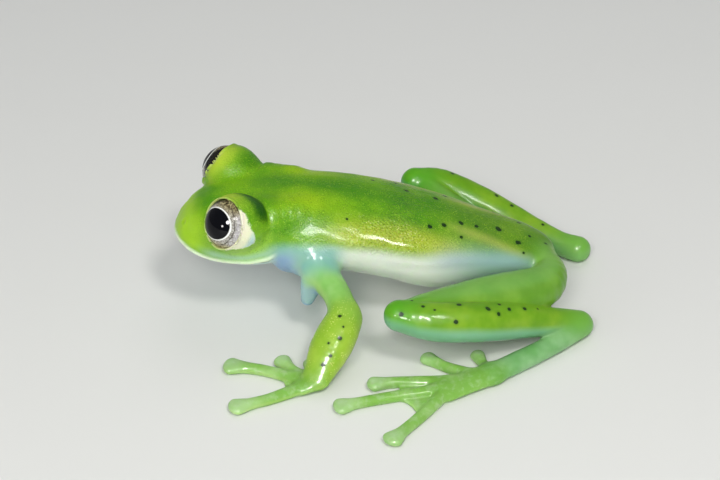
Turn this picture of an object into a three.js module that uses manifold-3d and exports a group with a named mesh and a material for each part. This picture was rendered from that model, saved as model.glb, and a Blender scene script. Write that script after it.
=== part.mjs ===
// Emerald glass frog, adult male, crouched on all fours. Millimetres, +Z up, the snout towards -Y, its left side towards +X.
// The body is one smooth field of flesh: a trunk and head loft, eye bulges, and a tapered tube for each length of limb
// and each digit, all blended. The field is parted by thin seams at the joints, and each part is skinned by itself.
import * as THREE from 'three'
import Module from 'manifold-3d'

// ---------------------------------------------------------------- driving sizes
const SECTION_POWER = 2.15                 // roundness of the trunk's cross-section
const SNOUT_Y = -11.75, SNOUT_WIDE_LENGTH = 4.9, SNOUT_HIGH_LENGTH = 2.5
const VENT_Y = 12.4, VENT_LENGTH = 2.4
const HEAD_TURN = THREE.MathUtils.degToRad(4.7), NECK_Y = -4.2, TURN_FROM = -3.0, TURN_TO = -6.4
const EYE_CENTRE = [3.06, -8.09, 7.56], EYE_RADIUS = 1.72
const BULGE_SHIFT = [-0.08, 0.2, 0.0], BULGE_RADIUS = 1.85, BULGE_BLEND = 0.5
const GAZE_RISE = THREE.MathUtils.degToRad(24.3), GAZE_FORWARD = THREE.MathUtils.degToRad(50.7)
const EYE_PLUG_RADIUS = 1.4, EYE_PLUG_DEPTH = 0.62, EYE_GAP = 0.15
const DIGIT_HEIGHT = 0.29, DIGIT_THICK = 0.37, KNUCKLE_HEIGHT = 0.36, KNUCKLE_THICK = 0.4
const SEAM = 0.24                          // gap between neighbouring parts
const FOLD_GAP = 0.24                      // air between folded lengths of the leg
const SKIN = 0.02                          // outward allowance for the flat facets
const ORIGIN = [1.523, 1.749, 0.0]            // middle of the standing outline, put at the origin

// trunk and head: Y, half width, top, bottom, height share of the widest line
const LOFT = [
  [-11.8, 3.75, 7.05, 4.80, 0.20], [-10.4, 3.82, 7.60, 4.58, 0.23], [-9.0, 3.86, 8.08, 4.34, 0.25],
  [-7.6, 3.88, 8.42, 4.08, 0.28], [-6.0, 3.84, 8.52, 3.55, 0.36], [-4.8, 3.80, 8.57, 2.90, 0.44],
  [-3.6, 3.82, 8.57, 2.45, 0.48], [-1.3, 3.98, 8.22, 3.00, 0.50], [1.3, 4.12, 7.68, 2.68, 0.50],
  [4.5, 4.10, 6.78, 1.85, 0.50], [7.6, 3.15, 5.75, 2.00, 0.54], [10.2, 2.35, 4.85, 2.25, 0.58], [12.6, 1.85, 4.20, 2.50, 0.60]]
// limb joints and radii of the left side: x, y, z, radius across, radius up
const BROW = [[2.65, -7.6, 7.45, 1.5, 1.5], [2.3, -6.1, 7.4, 1.2, 1.2], [2.0, -4.2, 7.5, 0.8, 0.85]]
const UPPER_ARM = [[2.2, -3.5, 5.2, 1.30, 1.30], [3.6, -2.75, 4.6, 1.08, 1.12], [5.2, -1.6, 3.85, 0.90, 0.95], [6.2, -1.12, 3.3, 0.92, 0.98], [6.95, -0.9, 2.92, 1.0, 1.0]]
const FOREARM = [[6.85, -0.93, 2.98, 1.02, 1.05], [7.7, -1.3, 2.5, 1.28, 1.20], [8.7, -1.82, 1.92, 1.32, 1.08], [9.6, -2.28, 1.32, 1.10, 0.80], [10.2, -2.65, 0.85, 0.98, 0.55]]
const PALM = [[10.1, -2.6, 0.62, 0.95, 0.56], [10.1, -3.4, 0.38, 1.15, 0.46]]
const ARM_SPINE = [[4.3, -2.85, 4.3, 0.70, 0.85], [4.45, -3.10, 3.4, 0.52, 0.64], [4.5, -3.28, 2.74, 0.42, 0.46]]
const THIGH = { left: [[0.9, 11.5, 3.25, 1.0, 0.95], [2.4, 11.95, 3.2, 1.12, 1.08], [3.85, 11.1, 3.08, 1.48, 1.32], [5.15, 8.4, 3.26, 1.66, 1.38], [6.55, 5.2, 3.5, 1.32, 1.2], [7.75, 3.0, 3.78, 0.98, 1.0]],
  right: [[0.9, 9.9, 2.95, 1.15, 1.05], [2.2, 10.2, 2.5, 1.28, 1.14], [3.4, 9.7, 2.15, 1.36, 1.16], [4.6, 8.0, 2.05, 1.36, 1.12], [6.5, 5.9, 2.4, 1.18, 1.04], [8.05, 4.2, 3.3, 0.95, 0.98]] }
const SHANK = { left: [[7.9, 2.4, 3.8, 0.95, 1.04], [8.25, 4.3, 3.6, 1.16, 1.22], [7.75, 7.0, 3.2, 1.2, 1.28], [6.5, 9.8, 2.42, 1.04, 1.16], [5.2, 12.3, 1.45, 0.86, 0.92], [4.6, 13.7, 0.92, 0.88, 0.88]],
  right: [[8.2, 3.65, 3.5, 0.92, 0.98], [8.4, 5.5, 3.05, 1.1, 1.12], [7.6, 8.1, 2.2, 1.1, 1.1], [6.1, 10.9, 1.4, 0.92, 0.92], [4.75, 13.1, 0.95, 0.76, 0.78], [4.15, 14.3, 0.83, 0.86, 0.86]] }
const TARSUS = { left: [[4.55, 13.83, 0.78, 0.88, 0.84], [6.45, 12.0, 0.66, 0.72, 0.66], [8.15, 9.8, 0.55, 0.77, 0.60], [9.35, 8.0, 0.46, 0.86, 0.52]],
  right: [[4.1, 14.4, 0.78, 0.86, 0.84], [5.2, 12.3, 0.66, 0.72, 0.66], [6.3, 9.8, 0.55, 0.76, 0.60], [7.1, 7.8, 0.46, 0.86, 0.52]] }
const SOLE = { left: [[9.3, 8.1, 0.44, 0.88, 0.50], [10.15, 6.4, 0.38, 1.0, 0.46], [10.8, 5.1, 0.34, 1.15, 0.42]],
  right: [[7.05, 7.9, 0.44, 0.88, 0.50], [7.8, 6.1, 0.38, 1.0, 0.46], [8.4, 4.8, 0.34, 1.15, 0.42]] }
// digits: root, tip, sideways bow, radius at the root, radius at the middle, radius of the disc
const FINGERS = [[[9.8, -2.9], [8.1, -3.1], 0, 0.42, 0.38, 0.46], [[9.9, -3.0], [7.8, -4.8], 0.10, 0.44, 0.38, 0.60],
  [[10.0, -3.2], [8.3, -7.9], -0.25, 0.52, 0.43, 0.78], [[10.4, -3.2], [12.45, -7.4], 0.15, 0.52, 0.43, 0.74]]
const TOES = { left: [[[9.0, 7.9], [7.2, 7.3], 0, 0.42, 0.36, 0.50], [[9.3, 6.9], [7.5, 4.2], 0.12, 0.44, 0.38, 0.58],
    [[10.0, 5.6], [10.15, 0.9], -0.15, 0.50, 0.42, 0.66], [[10.7, 5.2], [12.4, -1.1], -0.12, 0.50, 0.42, 0.72], [[10.9, 5.3], [15.6, 1.95], 0.10, 0.50, 0.42, 0.70]],
  right: [[[6.9, 7.7], [5.1, 6.7], 0, 0.42, 0.36, 0.50], [[7.0, 6.6], [5.6, 3.7], 0.12, 0.44, 0.38, 0.58],
    [[7.8, 5.3], [7.0, 0.6], -0.15, 0.50, 0.42, 0.66], [[8.4, 4.8], [9.0, -1.6], -0.12, 0.50, 0.42, 0.72], [[8.7, 5.0], [12.0, 0.5], 0.10, 0.50, 0.42, 0.70]] }
// webs: the two digits, how far along each the web reaches
const WEB_THICK = 0.5, WEB_HOLLOW = 0.2
const FINGER_WEBS = [[2, 3, 0.45, 0.42]]
const TOE_WEBS = [[1, 2, 0.30, 0.28], [2, 3, 0.70, 0.55], [3, 4, 0.50, 0.60]]
// seams: a point on the cut and the direction towards the outer part
const SHOULDER_CUT = { at: [3.95, -2.5, 4.4], to: [0.80, 0.47, -0.375] }
const ELBOW_CUT = { at: [6.95, -0.92, 2.95], to: [0.87, 0.0, -0.49] }
const WRIST_CUT = { at: [10.05, -2.55, 0.95], to: [0.30, -0.20, -0.93] }
const HIP_CUT = { at: [2.75, 11.0, 3.2], to: [0.97, -0.1, 0.0] }
const KNEE_CUT = { left: { at: [7.2, 3.3, 3.6], to: [0.97, 0.152, -0.18] }, right: { at: [7.5, 4.4, 3.3], to: [0.97, 0.152, -0.10] } }
const HEEL_CUT = { left: { at: [4.9, 13.3, 0.85], to: [0.67, 0.44, -0.60] }, right: { at: [4.45, 13.8, 0.82], to: [0.70, 0.35, -0.62] } }
const ANKLE_CUT = { left: { at: [9.3, 8.15, 0.46], to: [0.55, -0.83, 0] }, right: { at: [7.05, 7.95, 0.46], to: [0.38, -0.92, 0] } }
const NECK_CUT_Y = -4.85

// ---------------------------------------------------------------- field of flesh
const clamp = (v, a, b) => Math.min(Math.max(v, a), b)
const smooth = (a, b, x) => { const t = clamp((x - a) / (b - a), 0, 1); return t * t * (3 - 2 * t) }
const blend = (a, b, k) => { const h = clamp(0.5 + 0.5 * (b - a) / k, 0, 1); return b + (a - b) * h - k * h * (1 - h) }
const carve = (a, b, k) => -blend(-a, -b, k)

function hermite(rows, column, x) {          // smooth curve through a column of stations, held at its ends
  const n = rows.length, X = i => rows[i][0], Y = i => rows[i][column]
  const slope = i => {
    if (i === 0) return (Y(1) - Y(0)) / (X(1) - X(0))
    if (i === n - 1) return (Y(n - 1) - Y(n - 2)) / (X(n - 1) - X(n - 2))
    const a = X(i) - X(i - 1), b = X(i + 1) - X(i)
    return (a * a * Y(i + 1) + (b * b - a * a) * Y(i) - b * b * Y(i - 1)) / (a * b * (a + b))
  }
  x = clamp(x, X(0), X(n - 1))
  let i = 0
  while (i < n - 2 && x > X(i + 1)) i++
  const h = X(i + 1) - X(i), t = (x - X(i)) / h, t2 = t * t, t3 = t2 * t
  return (2 * t3 - 3 * t2 + 1) * Y(i) + (t3 - 2 * t2 + t) * h * slope(i) + (3 * t2 - 2 * t3) * Y(i + 1) + (t3 - t2) * h * slope(i + 1)
}
const LOFT_STEPS = 800, LOFT_Y0 = LOFT[0][0], LOFT_Y1 = LOFT[LOFT.length - 1][0]
const loftTable = [1, 2, 3, 4].map(c => Array.from({ length: LOFT_STEPS }, (_, i) => hermite(LOFT, c, LOFT_Y0 + (LOFT_Y1 - LOFT_Y0) * i / (LOFT_STEPS - 1))))
function trunkLevel(x, y, z) {
  const n = SECTION_POWER
  const f = clamp((y - LOFT_Y0) / (LOFT_Y1 - LOFT_Y0) * (LOFT_STEPS - 1), 0, LOFT_STEPS - 1.001), i = Math.floor(f), r = f - i
  const [a, top, bottom, share] = loftTable.map(c => c[i] * (1 - r) + c[i + 1] * r)
  const u = Math.max((SNOUT_Y + SNOUT_WIDE_LENGTH - y) / SNOUT_WIDE_LENGTH, 0), v = Math.max((y - VENT_Y + VENT_LENGTH) / VENT_LENGTH, 0)
  const uc = Math.min(u, 0.985), uh = clamp(1 - (1 - uc) * SNOUT_WIDE_LENGTH / SNOUT_HIGH_LENGTH, 0, 1)
  const ratio = Math.pow(1 - Math.pow(uh, n), 1 / n) / Math.pow(1 - Math.pow(uc, n), 1 / n)
  const middle = bottom + (top - bottom) * share, b = (z > middle ? top - middle : middle - bottom) * ratio
  return Math.pow(Math.pow(Math.abs(x) / a, n) + Math.pow(Math.abs(z - middle) / b, n) + Math.pow(u, n) + Math.pow(v, n), 1 / n) - 1
}
function intoHead(x, y) {                    // undo the turn of the head
  const a = HEAD_TURN * smooth(TURN_FROM, TURN_TO, y), c = Math.cos(a), s = Math.sin(a), v = y - NECK_Y
  return [x * c + v * s, NECK_Y - x * s + v * c]
}
function fromHead([x, y, z]) {
  const c = Math.cos(HEAD_TURN), s = Math.sin(HEAD_TURN), v = y - NECK_Y
  return [x * c - v * s, NECK_Y + v * c + x * s, z]
}
function trunkField(x, y, z) {
  const e = 0.02, [hx, hy] = intoHead(x, y), f = trunkLevel(hx, hy, z)
  const g = Math.hypot(trunkLevel(hx + e, hy, z) - f, trunkLevel(hx, hy + e, z) - f, trunkLevel(hx, hy, z + e) - f) / e
  return f / Math.max(g, 0.1)
}
function tube(stations, up = [0, 0, 1], finer = 3) {   // chain of tapered elliptical capsules along the stations
  const n = stations.length, rows = stations.map((s, i) => [i, ...s]), pts = []
  if (n > 2) for (let i = 0; i <= (n - 1) * finer; i++) pts.push([1, 2, 3, 4, 5].map(c => hermite(rows, c, i / finer)))
  else pts.push(...stations)
  const segs = [], U = new THREE.Vector3(...up), lo = [1e9, 1e9, 1e9], hi = [-1e9, -1e9, -1e9]
  for (const p of pts) for (let k = 0; k < 3; k++) { const r = Math.max(p[3], p[4]) + 1.4; lo[k] = Math.min(lo[k], p[k] - r); hi[k] = Math.max(hi[k], p[k] + r) }
  for (let i = 0; i + 1 < pts.length; i++) {
    const A = new THREE.Vector3(...pts[i].slice(0, 3)), B = new THREE.Vector3(...pts[i + 1].slice(0, 3)), d = B.clone().sub(A)
    const T = d.clone().normalize(), N = new THREE.Vector3().crossVectors(U, T).normalize(), M = new THREE.Vector3().crossVectors(T, N)
    segs.push({ A, d, L: d.lengthSq(), T, N, M, wa: pts[i][3], wb: pts[i + 1][3], ha: pts[i][4], hb: pts[i + 1][4] })
  }
  return (x, y, z) => {
    if (x < lo[0] || x > hi[0] || y < lo[1] || y > hi[1] || z < lo[2] || z > hi[2]) return 3
    let best = 1e9
    for (const s of segs) {
      const px = x - s.A.x, py = y - s.A.y, pz = z - s.A.z, t = clamp((px * s.d.x + py * s.d.y + pz * s.d.z) / s.L, 0, 1)
      const qx = px - t * s.d.x, qy = py - t * s.d.y, qz = pz - t * s.d.z
      const rw = s.wa + (s.wb - s.wa) * t, rh = s.ha + (s.hb - s.ha) * t, rt = 0.5 * (rw + rh)
      const a = qx * s.N.x + qy * s.N.y + qz * s.N.z, b = qx * s.M.x + qy * s.M.y + qz * s.M.z, c = qx * s.T.x + qy * s.T.y + qz * s.T.z
      const k0 = Math.hypot(a / rw, b / rh, c / rt), k1 = Math.hypot(a / (rw * rw), b / (rh * rh), c / (rt * rt))
      best = Math.min(best, k0 < 1e-6 ? -Math.min(rw, rh) : k0 * (k0 - 1) / Math.max(k1, 1e-9))
    }
    return best
  }
}
function digit([root, tip, bow, r0, r1, disc]) {       // a finger or toe that lies on the floor and ends in a disc
  const dx = tip[0] - root[0], dy = tip[1] - root[1], L = Math.hypot(dx, dy)
  return [0, 0.5, 1 - (0.95 * disc + 0.28) / L, 1].map(k => {
    const side = bow * 4 * k * (1 - k) / L
    return [root[0] + dx * k - dy * side, root[1] + dy * k + dx * side, k === 0 ? KNUCKLE_HEIGHT : DIGIT_HEIGHT,
      k === 1 ? disc : r0 + (r1 - r0) * Math.min(2 * k, 1), k === 0 ? KNUCKLE_THICK : DIGIT_THICK]
  })
}
const SIDES = { left: 1, right: -1 }
function web(side, [root0, tip0, bow0], [root1, tip1, bow1], reach0, reach1) {   // thin slab between two digits, its free edge curving in
  const on = (root, tip, bow, k) => {
    const dx = tip[0] - root[0], dy = tip[1] - root[1], aside = bow * 4 * k * (1 - k) / Math.hypot(dx, dy)
    return [SIDES[side] * (root[0] + dx * k - dy * aside), root[1] + dy * k + dx * aside]
  }
  const q = [on(root0, tip0, bow0, 0), on(root0, tip0, bow0, reach0), on(root1, tip1, bow1, reach1), on(root1, tip1, bow1, 0)]
  const middle = [0, 1].map(k => q.reduce((t, p) => t + p[k], 0) / 4)
  const edges = q.map((a, i) => {
    const b = q[(i + 1) % 4], L = Math.hypot(b[0] - a[0], b[1] - a[1]), n = [(b[1] - a[1]) / L, (a[0] - b[0]) / L]
    const out = n[0] * (middle[0] - a[0]) + n[1] * (middle[1] - a[1]) > 0 ? -1 : 1
    return { a, n: n.map(v => v * out), L }
  })
  const free = edges[1], sag = WEB_HOLLOW * free.L, r = (free.L * free.L / 4 + sag * sag) / (2 * sag)
  const c = [0, 1].map(k => (q[1][k] + q[2][k]) / 2 + free.n[k] * (r - sag))
  return (x, y, z) => Math.max(r - Math.hypot(x - c[0], y - c[1]), Math.abs(z - WEB_THICK / 2) - WEB_THICK / 2,
    ...edges.map(({ a, n }) => n[0] * (x - a[0]) + n[1] * (y - a[1])))
}
const onSide = (side, stations) => stations.map(s => [SIDES[side] * s[0], ...s.slice(1)])
const limbs = {}
for (const side of Object.keys(SIDES)) {
  const t = (stations, up) => tube(onSide(side, stations), up)
  limbs[side] = {
    brow: tube(onSide(side, BROW).map(s => [...fromHead(s), s[3], s[4]])),
    upper: t(UPPER_ARM), fore: t(FOREARM), spine: t(ARM_SPINE, [0, 1, 0]), palm: t(PALM), fingers: FINGERS.map(f => t(digit(f))),
    thigh: t(THIGH[side]), shank: t(SHANK[side]), tarsus: t(TARSUS[side]), sole: t(SOLE[side]), toes: TOES[side].map(f => t(digit(f))),
    fingerWebs: FINGER_WEBS.map(([a, b, ka, kb]) => web(side, FINGERS[a], FINGERS[b], ka, kb)),
    toeWebs: TOE_WEBS.map(([a, b, ka, kb]) => web(side, TOES[side][a], TOES[side][b], ka, kb)),
    bulge: fromHead([SIDES[side] * (EYE_CENTRE[0] + BULGE_SHIFT[0]), EYE_CENTRE[1] + BULGE_SHIFT[1], EYE_CENTRE[2] + BULGE_SHIFT[2]])
  }
}
function fields(x, y, z) {                   // distances to the trunk with the head, and to each length of limb
  const F = { body: trunkField(x, y, z) }
  for (const side of Object.keys(SIDES)) {
    const m = limbs[side]
    F.body = blend(F.body, m.brow(x, y, z), 0.8)
    F.body = blend(F.body, Math.hypot(x - m.bulge[0], y - m.bulge[1], z - m.bulge[2]) - BULGE_RADIUS, BULGE_BLEND)
    const hand = z > 2.6 ? 3 : m.fingerWebs.reduce((d, f) => blend(d, f(x, y, z), 0.12), m.fingers.reduce((d, f) => blend(d, f(x, y, z), 0.22), m.palm(x, y, z)))
    const arm = blend(blend(m.upper(x, y, z), m.fore(x, y, z), 0.35), m.spine(x, y, z), 0.3)
    const foot = z > 2.6 ? 3 : m.toeWebs.reduce((d, f) => blend(d, f(x, y, z), 0.12), m.toes.reduce((d, f) => blend(d, f(x, y, z), 0.22), m.sole(x, y, z)))
    F[side] = { arm: blend(arm, hand, 0.25), thigh: m.thigh(x, y, z), shank: m.shank(x, y, z), lower: blend(m.tarsus(x, y, z), foot, 0.4) }
  }
  return F
}
const apart = (gap, at, r0, r1, x, y, z) => gap - 3 * (1 - smooth(r0, r1, Math.hypot(x - at[0], y - at[1], z - at[2])))
function flesh(F, x, y, z) {
  let d = F.body
  for (const side of Object.keys(SIDES)) { d = blend(d, F[side].arm, 0.9); d = blend(d, F[side].thigh, 0.5) }
  for (const side of Object.keys(SIDES)) {
    const k = onSide(side, [SHANK[side][0]])[0], h = onSide(side, [SHANK[side][5]])[0]
    const shank = carve(F[side].shank, apart(FOLD_GAP, h, 1.0, 2.2, x, y, z) - F[side].lower, 0.1)
    const leg = blend(shank, F[side].lower, 0.12)
    d = carve(d, apart(FOLD_GAP, k, 1.2, 2.4, x, y, z) - leg, 0.1)
    d = blend(d, leg, 0.12)
  }
  return Math.max(d - SKIN, -z)
}

// ---------------------------------------------------------------- seams
const plane = (cut, s) => (x, y, z) => ((x - s * cut.at[0]) * s * cut.to[0] + (y - cut.at[1]) * cut.to[1] + (z - cut.at[2]) * cut.to[2]) / Math.hypot(...cut.to)
const seams = {}
for (const side of Object.keys(SIDES)) {
  const s = SIDES[side], shoulder = plane(SHOULDER_CUT, s), elbow = plane(ELBOW_CUT, s), wrist = plane(WRIST_CUT, s)
  const hip = plane(HIP_CUT, s), knee = plane(KNEE_CUT[side], s), heel = plane(HEEL_CUT[side], s), ankle = plane(ANKLE_CUT[side], s)
  const K = onSide(side, [SHANK[side][0]])[0], H = onSide(side, [SHANK[side][5]])[0]
  seams[side] = {
    arm: (F, x, y, z) => Math.min(shoulder(x, y, z), (Math.min(F.body, F[side].thigh, F[side].shank, F[side].lower) - F[side].arm) / 2),
    elbow: (F, x, y, z) => elbow(x, y, z), wrist: (F, x, y, z) => wrist(x, y, z),
    leg: (F, x, y, z) => Math.min(hip(x, y, z), (Math.min(F.body, F[side].arm) - Math.min(F[side].thigh, F[side].shank, F[side].lower)) / 2 + 0.6 * smooth(8.5, 10.5, y)),
    knee: (F, x, y, z) => { const w = smooth(1.4, 2.8, Math.hypot(x - K[0], y - K[1], z - K[2])); return knee(x, y, z) * (1 - w) + w * (F[side].thigh - Math.min(F[side].shank, F[side].lower)) / 2 },
    heel: (F, x, y, z) => { const w = smooth(1.2, 2.4, Math.hypot(x - H[0], y - H[1], z - H[2])); return heel(x, y, z) * (1 - w) + w * (F[side].shank - F[side].lower) / 2 },
    ankle: (F, x, y, z) => ankle(x, y, z)
  }
}
const neck = (F, x, y, z) => NECK_CUT_Y - intoHead(x, y)[1]
// name: outer sides and inner sides of the seams that bound a part, box, cell, triangles, colour, roughness
const parts = []
const addPart = (name, outer, inner, lo, hi, cell, triangles, color, roughness = 0.35) => parts.push({ name, outer, inner, lo, hi, cell, triangles, color, roughness })
addPart('head', [neck], [seams.left.arm, seams.right.arm], [-6.2, -12.6, 2.2], [6.2, -4.2, 10.2], 0.26, 1150, 0x63a822)
addPart('trunk', [], [neck, seams.left.arm, seams.right.arm, seams.left.leg, seams.right.leg], [-5.4, -5.6, 1.2], [5.4, 13.9, 9.4], 0.32, 1100, 0x6fae2a)
for (const side of Object.keys(SIDES)) {
  const s = SIDES[side], c = seams[side]
  const box = (lo, hi) => s > 0 ? [lo, hi] : [[-hi[0], lo[1], lo[2]], [-lo[0], hi[1], hi[2]]]
  const limb = (name, outer, inner, lo, hi, cell, triangles, color) => addPart(`${name}_${side}`, outer, inner, ...box(lo, hi), cell, triangles, color)
  limb('upper_arm', [c.arm], [c.elbow], [2.4, -5.2, 1.6], [8.6, 0.8, 6.4], 0.17, 260, 0x79bd62)
  limb('forearm', [c.arm, c.elbow], [c.wrist], [5.4, -4.2, -0.3], [11.8, 0.8, 4.6], 0.19, 280, 0x9fca3a)
  limb('hand', [c.arm, c.wrist], [], [7.0, -9.2, -0.3], [13.8, -1.2, 1.9], 0.15, 780, 0x9cc796)
  limb('thigh', [c.leg], [c.knee], [1.6, 1.0, 0.6], [9.4, 13.9, 5.6], 0.22, 400, 0x86b637)
  limb('shank', [c.leg, c.knee], [c.heel], [3.0, 0.8, -0.3], [10.2, 15.6, 5.4], 0.22, 400, 0x5fae45)
  limb('tarsus', [c.leg, c.knee, c.heel], [c.ankle], [2.8, 6.6, -0.3], [11.0, 15.8, 2.2], 0.18, 220, 0x88be84)
  limb('foot', [c.leg, c.knee, c.heel, c.ankle], [], [3.8, -3.2, -0.3], [17.0, 9.6, 1.4], 0.15, 880, 0x9cc796)
}

// ---------------------------------------------------------------- skin of a field, by cutting each cell into six tetrahedra
function skinOf(part) {
  const { lo, hi, cell } = part
  const n = lo.map((v, k) => Math.ceil((hi[k] - v) / cell - 1e-6)), [nx, ny, nz] = n.map(v => v + 1)
  const value = new Float64Array(nx * ny * nz), id = (i, j, k) => (i * ny + j) * nz + k
  for (let i = 0; i < nx; i++) for (let j = 0; j < ny; j++) for (let k = 0; k < nz; k++) {
    const x = lo[0] + i * cell, y = lo[1] + j * cell, z = lo[2] + k * cell
    let v = 1
    if (z > -1e-9 - cell) {
      const F = fields(x, y, z)
      v = flesh(F, x, y, z)
      if (v < cell * 2.5) {
        for (const s of part.outer) v = Math.max(v, SEAM / 2 - s(F, x, y, z))
        for (const s of part.inner) v = Math.max(v, SEAM / 2 + s(F, x, y, z))
      }
    }
    if (i === 0 || j === 0 || k === 0 || i === nx - 1 || j === ny - 1 || k === nz - 1) v = Math.max(v, cell)
    value[id(i, j, k)] = Math.abs(v) < 0.03 * cell ? (v < 0 ? -0.03 : 0.03) * cell : v
  }
  const corner = [[1, 0, 0], [0, 1, 0], [0, 0, 1]], orders = [[0, 1, 2], [0, 2, 1], [1, 0, 2], [1, 2, 0], [2, 0, 1], [2, 1, 0]]
  const points = [], faces = [], made = new Map()
  const at = q => { const k = q % nz, r = (q - k) / nz, j = r % ny, i = (r - j) / ny; return [lo[0] + i * cell, lo[1] + j * cell, lo[2] + k * cell] }
  const between = (p, q) => {
    if (p > q) [p, q] = [q, p]
    const key = p * (nx * ny * nz) + q
    if (!made.has(key)) {
      const t = value[p] / (value[p] - value[q]), A = at(p), B = at(q)
      made.set(key, points.length); points.push(A.map((v, k) => v + (B[k] - v) * t))
    }
    return made.get(key)
  }
  const face = (a, b, c, from, to) => {
    const A = points[a], B = points[b], C = points[c], u = B.map((v, k) => v - A[k]), w = C.map((v, k) => v - A[k])
    const normal = [u[1] * w[2] - u[2] * w[1], u[2] * w[0] - u[0] * w[2], u[0] * w[1] - u[1] * w[0]]
    const out = at(to).map((v, k) => v - at(from)[k])
    faces.push(normal[0] * out[0] + normal[1] * out[1] + normal[2] * out[2] > 0 ? [a, b, c] : [a, c, b])
  }
  for (let i = 0; i + 1 < nx; i++) for (let j = 0; j + 1 < ny; j++) for (let k = 0; k + 1 < nz; k++) {
    let low = 0
    for (let c = 0; c < 8; c++) if (value[id(i + (c & 1), j + (c >> 1 & 1), k + (c >> 2))] < 0) low++
    if (low === 0 || low === 8) continue
    for (const order of orders) {
      const p = [i, j, k], tet = [id(...p)]
      for (const axis of order) { p[0] += corner[axis][0]; p[1] += corner[axis][1]; p[2] += corner[axis][2]; tet.push(id(...p)) }
      const inside = tet.filter(q => value[q] < 0), outside = tet.filter(q => value[q] >= 0)
      if (inside.length === 1) face(between(inside[0], outside[0]), between(inside[0], outside[1]), between(inside[0], outside[2]), inside[0], outside[0])
      else if (inside.length === 3) face(between(outside[0], inside[0]), between(outside[0], inside[1]), between(outside[0], inside[2]), inside[0], outside[0])
      else if (inside.length === 2) {
        const a = between(inside[0], outside[0]), b = between(inside[0], outside[1]), c = between(inside[1], outside[1]), d = between(inside[1], outside[0])
        face(a, b, c, inside[0], outside[0]); face(a, c, d, inside[0], outside[0])
      }
    }
  }
  return { points, faces }
}

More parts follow.
